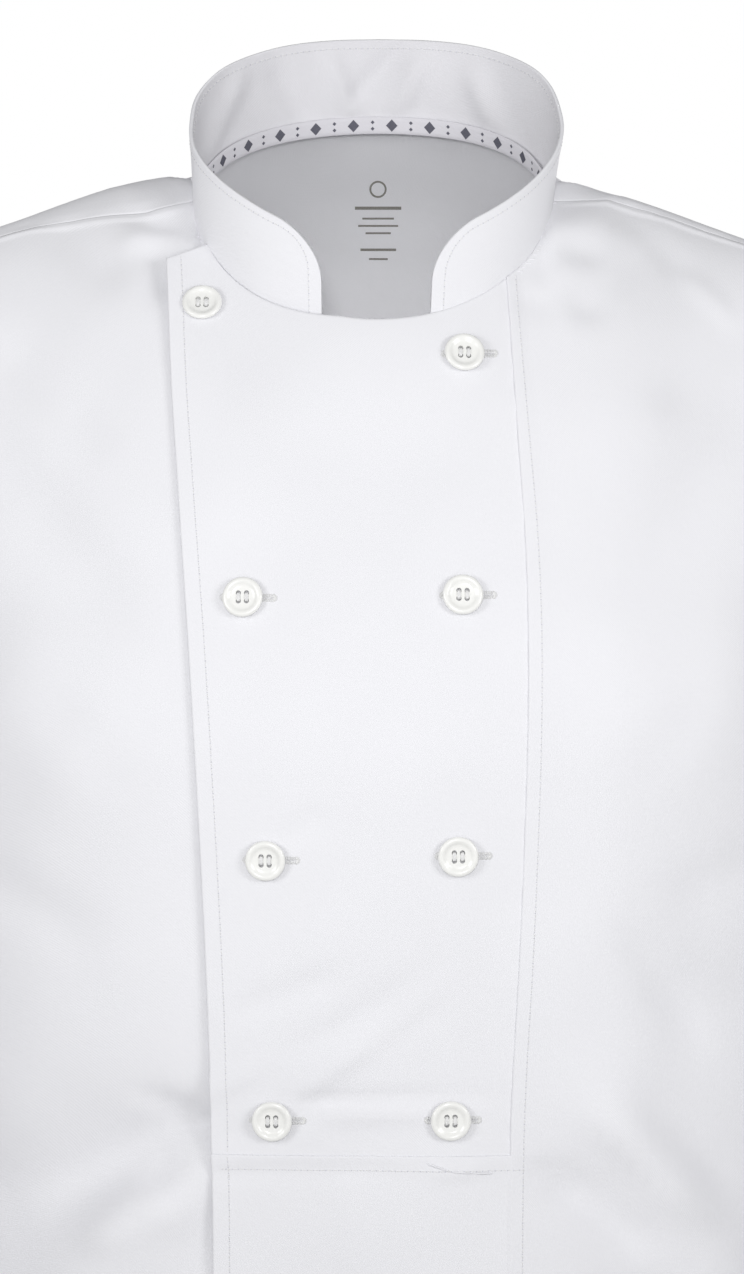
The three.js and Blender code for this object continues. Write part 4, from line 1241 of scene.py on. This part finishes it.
def hem_lift(grid):
    """The turned-up hem stands a little proud."""
    return HEM_STEP * (1 - smooth(edge_distance(grid, "bottom"), *HEM_FALL))


def surface(grid, normals, lift):
    """A surface of the jacket: its grid, its normals, and its outer face, lifted off the grid."""
    return {"grid": grid, "normals": normals, "outer": grid + normals * lift[..., None]}


def right_front_surface():
    """The wearer's right front, with its underlap below the bib."""
    corner_y = form_depth(-OVERLAP_EDGE["x"][-1], OVERLAP_CORNER_Z) + UNDERLAP_SINK
    grid, _ = front_panel(-1, corner_y)
    grid = edged(grid[:, ::-1], ("first", "last", "bottom"))
    normals = grid_normals(grid)
    lift = CLOTH + front_relief(grid, RIGHT_CREASES) + pucker(grid, ("first", "top"), seed=21)
    lift = lift + hem_lift(grid) + shoulder_welt(grid)
    return surface(grid, normals, lift)


def left_front_surface(right_grid):
    """The wearer's left front and the bib on one grid. Its row foot and its column seam part them."""
    corner, _ = point_in_view(right_grid, right_grid, OVERLAP_EDGE["x"][-1], OVERLAP_CORNER_Z)
    grid, seam = front_panel(1, corner[1] - CORNER_OVER)
    grid = add_line(add_line(grid, 1, seam, "after"), 1, seam, "before")
    grid = add_line(add_line(grid, 0, SKIRT_ROWS, "after"), 0, SKIRT_ROWS, "before")
    grid = edged(grid, ("first", "last", "bottom"))
    seam, foot = seam + 2, SKIRT_ROWS + 2
    normals = grid_normals(grid)
    level = over_lift(grid) + CLOTH + front_relief(grid)
    beside = edge_distance(grid[:, seam:], "first")
    lap = np.zeros(grid.shape[:2])
    lap[:, seam:] = LAP_RISE * (1 - smooth(beside, *LAP_FALL))
    below = edge_distance(grid[: foot + 1], "top")
    under = LAP_RISE * (1 - smooth(below, *LAP_FALL))
    lap[: foot + 1] = np.maximum(lap[: foot + 1], under * (grid[: foot + 1, :, 0] < BIB_FOOT_END_X))
    lift = level + lap + pucker(grid, ("last", "top"), seed=31) + hem_lift(grid) + shoulder_welt(grid)
    return {**surface(grid, normals, lift), "level": level, "seam": seam, "foot": foot}


def back_surface():
    grid = edged(back_panel(), ("first", "last", "bottom"))
    normals = -grid_normals(grid)
    x, z = grid[..., 0], grid[..., 2]
    lift = CLOTH + lift_of(BACK_CREASES, x, z) * (grid[..., 1] > 0)
    lift = lift + waves(12, grid, *BODY_WAVES) + hem_lift(grid)
    lift = lift + pucker(grid, ("first", "last", "top"), seed=51)
    return surface(grid, normals, lift)


def meet_at_shoulder(front, back, hand):
    """Draws the top edges of a front and the back together along the shoulder seam, and eases the
    neckline beside it."""
    count = SHOULDER_STEPS * round(SHOULDER_SPAN / CELL) + 2
    along = np.arange(count + MEETING_COLUMNS)
    seam = -1 - along if hand > 0 else along
    held = np.minimum(along, count - 1)
    share = np.clip((count + MEETING_COLUMNS - 1 - along) / MEETING_COLUMNS, 0, 1)[:, None]
    middle = (front[-1, seam] + back[-1, seam]) / 2
    fade = np.linspace(0, 1, MEETING_ROWS)[:, None, None]
    for outer in (front, back):
        shift = (middle - outer[-1, seam])[held] * share
        outer[-MEETING_ROWS:, seam] += fade * shift


def meet_at_side(front, back, hand):
    """Draws the side edges of a front and the back together below the armhole."""
    columns = -1 - np.arange(MEETING_COLUMNS) if hand > 0 else np.arange(MEETING_COLUMNS)
    fade = np.linspace(1, 0, MEETING_COLUMNS)[:, None]
    front_edge, back_edge = front[:, columns[0]].copy(), back[:, columns[0]].copy()
    for outer, own, other in ((front, front_edge, back_edge), (back, back_edge, front_edge)):
        below, beside = len(own) - len(CHEST) + 1, other[: len(other) - len(CHEST) + 1]
        there = [np.interp(own[:below, 2], beside[:, 2], beside[:, k]) for k in range(3)]
        shift = np.zeros_like(own)
        shift[:below] = (np.stack(there, 1) - own[:below]) / 2
        ease = np.linspace(1, 0, MEETING_ROWS + 1)[1:, None]
        shift[below : below + MEETING_ROWS] = shift[below - 1] * ease
        outer[:, columns] += shift[:, None] * fade


def make_left_front(left):
    """The front round the bib, and the bib, whose own surface is added to left."""
    grid, normals, seam, foot = left["grid"], left["normals"], left["seam"], left["foot"]
    keep = np.ones((grid.shape[0] - 1, grid.shape[1] - 1), bool)
    keep[foot:, :seam] = False
    cloth_piece("left_front", left["outer"], normals, keep=keep)
    part = grid[foot:, : seam + 1]
    left["bib_normals"] = normals[foot:, : seam + 1]
    lift = left["level"][foot:, : seam + 1] + pucker(part, ("last", "bottom"), seed=41, height=0.3)
    left["bib_outer"] = part + left["bib_normals"] * lift[..., None]
    cloth_piece("bib_panel", left["bib_outer"], left["bib_normals"])


def armhole_loop(hand, front, back):
    """The outer edge round an armhole, from the underarm up the front and down the back, and the
    direction that leads away from the body's edge."""
    edge = slice(-len(CHEST), None), -1 if hand > 0 else 0
    points = np.concatenate([front["outer"][edge], back["outer"][edge][1:-1][::-1]])
    normals = np.concatenate([front["normals"][edge], back["normals"][edge][1:-1][::-1]])
    along = np.roll(points, -1, 0) - np.roll(points, 1, 0)
    return points, unit(np.cross(along, normals)) * hand


def sleeve_oval(hand, along, turn):
    """The plain oval of the sleeve at places along and round it."""

    def at(key):
        return curve(SLEEVE, "along", key, along)

    half_x, half_z = (at("outerX") - at("innerX")) / 2, (at("outerZ") - at("innerZ")) / 2
    x = (at("outerX") + at("innerX")) / 2 - half_x * np.cos(turn)
    z = (at("outerZ") + at("innerZ")) / 2 - half_z * np.cos(turn)
    return np.stack([hand * x, at("y") - at("deep") * np.sin(turn), z], -1)


def sleeve_lift(folds, along, turn):
    """How far a table of folds lifts the sleeve. Their runs are measured on the sleeve laid flat."""
    laid = {
        "x0": folds["along0"] * SLEEVE_LENGTH,
        "z0": folds["round0"] / 360 * SLEEVE_GIRTH,
        "x1": folds["along1"] * SLEEVE_LENGTH,
        "z1": folds["round1"] / 360 * SLEEVE_GIRTH,
        "wide": folds["wide"],
        "high": folds["high"],
    }
    return lift_of(laid, along * SLEEVE_LENGTH, turn / (2 * np.pi) * SLEEVE_GIRTH)


def make_sleeve(name, hand, loop, away):
    """A sleeve set into its armhole."""
    run = run_along(np.concatenate([loop, loop[:1]]))
    round_it = run[:-1] / run[-1] * 2 * np.pi
    down_it = np.linspace(0, 1, round(SLEEVE_LENGTH / CELL)) ** SLEEVE_CROWD
    along, turn = np.meshgrid(down_it, round_it, indexing="ij")
    fade = 1 - smooth(along, 0, ARMHOLE_REACH)
    off = loop - sleeve_oval(hand, 0 * round_it, round_it)
    plain = sleeve_oval(hand, along, turn) + off * fade[..., None]
    normals = grid_normals(plain, ring=True) * hand
    lift = sleeve_lift(SLEEVE_FOLDS, along, turn)
    folded = plain + normals * lift[..., None]
    normals = grid_normals(folded, ring=True) * hand
    fine = sleeve_lift(SLEEVE_CREASES, along, turn)
    fine = fine + waves(60 + hand, folded, *SLEEVE_WAVES)
    hem_from = 1 - CUFF_STITCH / SLEEVE_LENGTH
    fine = fine + HEM_STEP * smooth(along, hem_from - CUFF_EASE, hem_from + CUFF_EASE)
    fine = fine * smooth(along, *SLEEVE_CALM)
    fine = fine + pucker(folded, ("bottom",), seed=71, height=0.5, reach=9)
    outer = folded + normals * fine[..., None]
    outer[0] = loop + away * SEAM_GAP
    cloth_piece(name, outer, normals, ring=True, flip=hand < 0)
    return outer, normals


def collar_lift(degrees):
    """The height of the collar's bottom edge over the neckline."""
    angle = np.radians(degrees)
    left = smooth(np.sin(angle), -COLLAR_LIFT["blend"], COLLAR_LIFT["blend"])
    ahead = smooth(np.cos(angle), *COLLAR_LIFT_FADES)
    tucked = (1 - left) * smooth(np.cos(angle), *COLLAR_TUCK_FADES)
    return lerp(COLLAR_LIFT["right"], COLLAR_LIFT["left"], left * ahead) - COLLAR_BEHIND_BIB * tucked


def collar_point(degrees, share):
    """The collar's middle surface at an angle round the neck and a share of its height."""
    angle = np.radians(degrees)
    signed = np.where(degrees > 180, degrees - 360, degrees)
    ahead = np.cos(angle)
    base = neck_point(signed)
    in_front = np.where(signed > 0, COLLAR_AHEAD["left"], COLLAR_AHEAD["right"])
    out = lerp(COLLAR_AHEAD["behind"], in_front, smooth(ahead, *COLLAR_AHEAD_FADES))
    base = base + np.stack([np.sin(angle), -ahead, 0 * ahead], -1) * out[..., None]
    base[..., 2] += collar_lift(signed)
    top = base.copy()
    top[..., 2] = curve(COLLAR_RIM, "turn", "z", np.abs(signed))
    flare = np.where(signed > 0, COLLAR_FLARE["left"], COLLAR_FLARE["right"])
    top[..., 0] += flare * np.sin(angle)
    top[..., 1] += COLLAR_LEAN * smooth(ahead, 0, 1)
    return base + (top - base) * share[..., None]


def collar_grid():
    """The collar's middle surface, from its left front end to its right one."""
    even = np.linspace(0, 1, round(COLLAR_ROUND / CELL * COLLAR_DENSE))
    crowded = 0.5 - 0.5 * np.cos(np.pi * even)
    middle = COLLAR_EVEN * (1 - np.abs(2 * even - 1) ** 3)
    degrees = lerp(COLLAR_END_DEG, 360 - COLLAR_END_DEG, lerp(crowded, even, middle))
    zero, one = np.zeros_like(degrees), np.ones_like(degrees)
    base, rim = collar_point(degrees, zero), collar_point(degrees, one)
    full = np.linalg.norm(rim - base, axis=-1)
    ends = collar_point(np.where(degrees < 180, COLLAR_END_DEG, 360 - COLLAR_END_DEG), zero)
    left = COLLAR_CORNER - np.minimum(np.linalg.norm(ends - base, axis=-1), COLLAR_CORNER)
    height = (full - COLLAR_CORNER + np.sqrt(COLLAR_CORNER**2 - left**2)) / full
    share = np.linspace(0, 1, COLLAR_ROWS)[:, None]
    grid = collar_point(degrees + 0 * share, share * height)
    return edged(grid, ("top", "bottom"))


def shade_inside(piece, cells):
    """Gives the inner face of a shell a greyer copy of the white cloth, as painted shade. Its quads follow
    those of the outer face.
    """
    piece.data.materials.append(INSIDE_SHADE_CLOTH)
    for polygon in piece.data.polygons[cells : 2 * cells]:
        polygon.material_index = 1


def make_collar():
    grid = collar_grid()
    normals = grid_normals(grid)
    behind = smooth(grid[..., 1], *COLLAR_BEHIND_Y)
    wave = waves(81, grid, *COLLAR_WAVES) * (0.3 + 0.7 * behind)
    wave = wave + lift_of(COLLAR_CREASES, grid[..., 0], grid[..., 2]) * behind
    wave = wave * smooth(edge_distance(grid, "bottom"), *COLLAR_CALM)
    wave = wave + pucker(grid, ("bottom",), seed=82, height=0.5, reach=6)
    outer = grid + normals * (wave + COLLAR_SHELL / 2)[..., None]
    obj = cloth_piece("collar_band", outer, normals, thick=COLLAR_SHELL)
    # Painted shade on the collar's inner face.
    shade_inside(obj, (grid.shape[0] - 1) * (grid.shape[1] - 1))
    return outer, outer - normals * COLLAR_SHELL, normals


def make_tape():
    """The woven tape inside the back neck seam, with a row of small woven figures."""
    degrees = np.linspace(TAPE_FROM_DEG, 360 - TAPE_FROM_DEG, round(TAPE_ROUND / CELL))
    heights = np.linspace(-TAPE_BELOW, TAPE_ABOVE, TAPE_ROWS)[:, None]
    grid = collar_point(degrees + 0 * heights, 0 * degrees + 0 * heights)
    grid[..., 2] += heights - collar_lift(degrees)
    normals = grid_normals(grid)
    normals[..., 2] = 0
    normals = unit(normals)
    face = COLLAR_CLOTH / 2 + TAPE_GAP
    outer = grid - normals * face
    cloth_piece("neck_tape_band", outer, normals, thick=TAPE_CLOTH)
    return outer - normals * TAPE_CLOTH, -normals


def tube(path, radius, sides):
    """Points and faces of a tube along a path."""
    path = np.asarray(path, float)
    way = unit(np.gradient(path, axis=0))
    side = unit(np.cross(way, np.array([1.0, 0.013, 0.021])))
    other = np.cross(way, side)
    across, up = [value[:, None] for value in circle(sides)]
    ring = side[:, None] * across + other[:, None] * up
    return (path[:, None] + radius * ring).reshape(-1, 3), ring_quads(len(path), sides)


def topstitch(name, lines):
    """Rows of single stitches along lines, each a path and its normals, and grey six-sided patches between
    the stitches, which are painted shade of the needle holes."""
    runs = [along_line(*line, STITCH_PITCH, STITCH_LENGTH) for line in lines]
    add_mesh(name + "_stitches", *join([stitch_run(*run) for run in runs]), THREAD)
    across, up = [value[:, None] for value in circle(NEEDLE_SIDES)]
    marks = []
    for starts, ends, out in runs:
        way = unit(ends[1:] - starts[1:])
        ring = way[:, None] * across + np.cross(out[1:], way)[:, None] * up
        centre = (starts[1:] + ends[:-1]) / 2
        ring = centre[:, None] + NEEDLE_RADIUS * ring + NEEDLE_LIFT * out[1:, None]
        marks.append((ring.reshape(-1, 3), np.arange(len(centre) * NEEDLE_SIDES).reshape(-1, NEEDLE_SIDES)))
    add_mesh(name + "_needle_hole_shades", *join(marks), NEEDLE_HOLE_SHADE)


def line_beside(grid, normals, edge, distance, start=0, end=None):
    """A line on a grid at a distance from one of its edges, as its points and normals."""
    return line_on(grid, normals, *inset_line(grid, edge, distance, start, end))


def front_stitching(left, right, back):
    """The topstitching of the fronts, the bib and the hem."""
    front, normals, seam, foot = left["outer"], left["normals"], left["seam"], left["foot"]
    bib = left["bib_outer"], left["bib_normals"]
    skirt = front[: foot + 1], normals[: foot + 1]
    strip = front[:, seam:], normals[:, seam:]
    edge = [line_beside(*bib, "first", EDGE_STITCH, 0, -1), line_beside(*skirt, "first", EDGE_STITCH)]
    topstitch("overlap_edge", edge)
    topstitch("bib_seam", [line_beside(*strip, "first", SEAM_STITCH, 0, -2)])
    topstitch("bib_foot", [line_beside(*skirt, "top", BIB_FOOT_STITCH, 2, seam + 3)])
    cloths = (left, right, back)
    hems = [line_beside(cloth["outer"], cloth["normals"], "bottom", HEM_STITCH) for cloth in cloths]
    topstitch("hem", hems)
    path, out = points_in_view(front, normals, TUCK)
    add_mesh("strip_tuck", *stitch_run(path[:-1], path[1:], out[:-1], TUCK_RADIUS), WHITE)


def collar_stitching(outer, inner, normals):
    """Stitching round the collar's free edges and along its seam, on both faces."""
    run = run_along(outer[0])
    height = np.linalg.norm(outer[-1] - outer[0], axis=-1)
    total, steps, gap = run[-1], COLLAR_STITCH_STEPS, COLLAR_STITCH_GAP
    arc = np.linspace(np.pi, np.pi / 2, steps["corner"])
    radius = COLLAR_CORNER - COLLAR_STITCH
    ends = []
    for beyond in (COLLAR_CORNER, total - COLLAR_CORNER):
        full = np.interp(beyond, run, height)
        up = np.linspace(gap, full - COLLAR_CORNER, steps["end"])
        end_s = np.concatenate([0 * up + COLLAR_STITCH, COLLAR_CORNER + radius * np.cos(arc)])
        ends.append((end_s, np.concatenate([up, full - COLLAR_CORNER + radius * np.sin(arc)])))
    (left_s, left_h), (right_s, right_h) = ends
    middle = np.linspace(COLLAR_CORNER + gap, total - COLLAR_CORNER - gap, steps["rim"])
    rim_s = np.concatenate([left_s, middle, total - right_s[::-1]])
    rim_h = np.concatenate([left_h, np.interp(middle, run, height) - COLLAR_STITCH, right_h[::-1]])
    seam_s = np.linspace(COLLAR_SEAM_GAP, total - COLLAR_SEAM_GAP, steps["seam"])
    seam_h = 0 * seam_s + COLLAR_SEAM_STITCH
    for name, grid, out in (("collar_outside", outer, normals), ("collar_inside", inner, -normals)):
        lines = []
        for s, h in ((rim_s, rim_h), (seam_s, seam_h)):
            columns = np.interp(s, run, np.arange(len(run)))
            rows = h / np.interp(s, run, height) * (len(grid) - 1)
            lines.append(line_on(grid, out, rows, columns))
        topstitch(name, lines)


def neck_roping(left, right):
    """The small slanting puckers of the neck seam beside the collar."""
    parts = []
    for front, hand in ((left, 1), (right, -1)):
        edge = front["outer"][-1]
        beside = (hand * edge[:, 0] > ROPING_FROM_X) & (hand * edge[:, 0] < NECK_HALF)
        columns = np.nonzero(beside)[0]
        path, out = edge[columns], front["normals"][-1, columns]
        starts, ends, out = along_line(path, out, ROPING_PITCH, ROPING_LENGTH)
        away = unit(np.cross(out, ends - starts))
        away = away * np.sign(-away[:, 2:])
        starts = starts + away * ROPING_FROM_EDGE - out * ROPING_SINK
        ends = ends + away * ROPING_WIDE - out * ROPING_SINK
        parts.append(stitch_run(starts, ends, out, ROPING_RADIUS))
    add_mesh("neck_seam_roping", *join(parts), WHITE)


def sleeve_stitching(sleeves):
    lines = []
    for outer, normals in sleeves:
        rows, columns = inset_line(outer, "top", CUFF_STITCH)
        rows, columns = np.append(rows, rows[0]), np.append(columns, columns[-1])
        lines.append(line_on(outer, normals, rows, columns))
    topstitch("cuff", lines)


def buttonholes(left):
    """Stitched horizontal buttonholes in the overlap, one beneath each button but the first."""
    bib = left["bib_outer"], left["bib_normals"]
    stitches, slits = [], []
    for name, (x, z) in BUTTONS.items():
        if name == "button_right_1":
            continue
        high = x + BUTTONHOLE_REACH.get(name, BUTTONHOLE_REACH["usual"])
        low = high - BUTTONHOLE_LENGTH
        lines = []
        for away in (SLIT_HALF, BUTTONHOLE_HALF):
            along = np.arange(low, high + 0.01, BUTTONHOLE_PITCH)
            places = [(a, z + side * away) for side in (-1, 1) for a in along]
            for end, facing in ((low, -1), (high, 1)):
                for angle in np.radians(BUTTONHOLE_FAN):
                    places.append((end + away * facing * np.cos(angle), z + away * np.sin(angle)))
            lines.append(points_in_view(*bib, places))
        (starts, out), (ends, _) = lines
        stitches.append(stitch_run(starts, ends, out, PURL_RADIUS))
        steps = np.linspace(low, high, SLIT_STEPS + 1)
        slit = [(step, z + side * SLIT_HALF) for step in steps for side in (-1, 1)]
        points, normals = points_in_view(*bib, slit)
        slits.append((points + SLIT_LIFT * normals, ladder(SLIT_STEPS)))
    add_mesh("buttonhole_stitches", *join(stitches), THREAD)
    add_mesh("buttonhole_slits", *join(slits), SHADOW)


def button_mesh():
    """A four-hole button with a raised rim, face up, its back on z = 0, in millimetres."""
    disc = plain_object("button_disc", *lathe(BUTTON_PROFILE, BUTTON_SIDES))
    across, up = circle(HOLE_SIDES)
    caps = [tuple(range(HOLE_SIDES))[::-1], tuple(range(HOLE_SIDES, 2 * HOLE_SIDES))]
    cutters = []
    for x, y in HOLE_PLACES:
        ring = [x + BUTTON_HOLE_RADIUS * across, y + BUTTON_HOLE_RADIUS * up]
        points = [np.stack([*ring, np.full(HOLE_SIDES, z)], 1) for z in (-1, BUTTON_THICK + 1)]
        faces = ring_quads(2, HOLE_SIDES).tolist() + caps
        cutters.append(plain_object("button_cutter", np.concatenate(points), faces))
    for cutter in cutters:
        cut = disc.modifiers.new("hole", "BOOLEAN")
        cut.operation = "DIFFERENCE"
        cut.object = cutter
    graph = bpy.context.evaluated_depsgraph_get()
    mesh = bpy.data.meshes.new_from_object(disc.evaluated_get(graph))
    for obj in (disc, *cutters):
        bpy.data.objects.remove(obj)
    return np.array([v.co for v in mesh.vertices]), [tuple(face.vertices) for face in mesh.polygons]


def lathe(profile, sides):
    """Points and faces of a solid turned from a profile of radii and heights, closed at both ends."""
    across, up = circle(sides)
    rings = [np.stack([r * across, r * up, 0 * up + z], 1) for r, z in profile[1:-1]]
    points = np.concatenate([[(0, 0, profile[0][1])], *rings, [(0, 0, profile[-1][1])]])
    last, top = 1 + (len(rings) - 1) * sides, len(points) - 1
    faces = [(0, 1 + (k + 1) % sides, 1 + k) for k in range(sides)]
    faces += (1 + ring_quads(len(rings), sides)).tolist()
    return points, faces + [(last + k, last + (k + 1) % sides, top) for k in range(sides)]


def plain_object(name, points, faces):
    mesh = bpy.data.meshes.new(name)
    mesh.from_pydata(points.tolist(), [], faces)
    return put(name, mesh)


def button_threads():
    """Two upright stitches through the four holes, four strands each."""
    parts = []
    for x in (-1, 1):
        for shift in THREAD_SHIFTS:
            half = BUTTON_HOLE_PITCH / 2
            path = [(x * half + shift, y * half, z) for y, z in THREAD_PATH]
            parts.append(tube(path, THREAD_RADIUS, THREAD_SIDES))
    return join(parts)


def make_buttons():
    """Detailed buttons in the places of the frame's buttons, each with its thread."""
    points, faces = button_mesh()
    thread_points, thread_faces = button_threads()
    for name in BUTTONS:
        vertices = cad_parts[name].data.vertices
        places = np.array([vertex.co for vertex in vertices]) / MM
        low, high = places.min(0), places.max(0)
        centre = (low + high) / 2
        normal = np.linalg.svd(places - places.mean(0))[2][2]
        normal = normal * -np.sign(normal[1])
        across = unit(np.array([1.0, 0, 0]) - normal * normal[0])
        turn = np.stack([across, np.cross(normal, across), normal])
        origin = centre + normal * ((places - centre) @ normal).min()
        button = add_mesh(name + "_moulded", points @ turn + origin, faces, PLASTIC, "button")
        shade_by_angle(button)
        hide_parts(name)
        add_mesh(name + "_thread", thread_points @ turn + origin, thread_faces, THREAD, "button")


def shade_by_angle(obj):
    """Keeps edges sharper than 40 degrees crisp."""
    mesh = obj.data
    form = bmesh.new()
    form.from_mesh(mesh)
    for edge in form.edges:
        edge.smooth = edge.calc_face_angle(math.pi) < math.radians(40)
    form.to_mesh(mesh)
    form.free()


def tape_figures(face, normals):
    """Small diamonds with a dot on each side, in turn along the tape: a plain woven pattern."""
    run = run_along(face[2])
    high = TAPE_BELOW + TAPE_ABOVE
    parts = []
    for count, s in enumerate(np.arange(FIGURE_PITCH, run[-1] - FIGURE_PITCH / 2, FIGURE_PITCH)):
        for shape in DIAMOND if count % 2 == 0 else DOTS:
            across, up = np.array(shape, float).T
            rows = (high / 2 + up) / high * (len(face) - 1)
            columns = np.interp(s + across, run, np.arange(len(run)))
            line, _ = line_on(face, normals, rows, columns, FIGURE_LIFT)
            parts.append((line, np.arange(len(line))[None]))
    add_mesh("tape_figures", *join(parts), MOTIF, "tape_cloth")


def inside_print(back):
    """A generic print inside the back: a ring over plain bars."""
    inner = back["outer"] - back["normals"] * SHELL

    def printed(places, faces):
        points, normals = points_in_view(inner, back["normals"], places)
        return points - normals * PRINT_LIFT, faces

    turn = np.linspace(0, 2 * np.pi, PRINT_RING_SIDES + 1)
    x, z = PRINT_RING_AT
    ring = [(x + r * np.cos(a), z + r * np.sin(a)) for r in PRINT_RING_RADII for a in turn]
    beyond = PRINT_RING_SIDES + 1
    parts = [printed(ring, np.arange(PRINT_RING_SIDES)[:, None] + (0, 1, beyond + 1, beyond))]
    steps = np.linspace(-0.5, 0.5, PRINT_BAR_STEPS + 1)
    for x, z, wide, high in PRINT_BARS:
        bar = [(x + step * wide, z + side * high / 2) for step in steps for side in (-1, 1)]
        parts.append(printed(bar, ladder(PRINT_BAR_STEPS)[:, TURNED]))
    add_mesh("inside_print", *join(parts), INK)


def shoulder_allowances(back):
    """The turned seam allowances inside the shoulders."""
    inner = back["outer"] - back["normals"] * SHELL
    away = -back["normals"]
    columns = np.arange(inner.shape[1])
    xs = np.abs(inner[-1, :, 0])
    for name, side in (("left", 1), ("right", -1)):
        chosen = columns[(xs > NECK_HALF + 1) & (side * inner[-1, :, 0] > 0)]
        rows_at = []
        for distance in ALLOWANCE_ROWS:
            rows, _ = inset_line(inner, "top", distance, chosen[0], chosen[-1] + 1)
            rows_at.append(line_on(inner, away, rows, chosen, ALLOWANCE_LIFT))
        grid = np.stack([line[0] for line in rows_at])
        normals = np.stack([line[1] for line in rows_at])
        cloth_piece("shoulder_allowance_" + name, grid, normals, thick=ALLOWANCE_THICK)


set_camera()
set_surround()
set_floor()
set_lamps()
right = right_front_surface()
left = left_front_surface(right["grid"])
back = back_surface()
meet_at_shoulder(left["outer"], back["outer"], 1)
meet_at_shoulder(right["outer"], back["outer"], -1)
meet_at_side(left["outer"], back["outer"], 1)
meet_at_side(right["outer"], back["outer"], -1)
cloth_piece("right_front", right["outer"], right["normals"])
make_left_front(left)
cloth_piece("back_panel", back["outer"], back["normals"], flip=True)
sleeves = [
    make_sleeve("left_sleeve", 1, *armhole_loop(1, left, back)),
    make_sleeve("right_sleeve", -1, *armhole_loop(-1, right, back)),
]
collar_outer, collar_inner, collar_normals = make_collar()
tape_face, tape_normals = make_tape()
front_stitching(left, right, back)
collar_stitching(collar_outer, collar_inner, collar_normals)
neck_roping(left, right)
sleeve_stitching(sleeves)
buttonholes(left)
make_buttons()
tape_figures(tape_face, tape_normals)
inside_print(back)
shoulder_allowances(back)
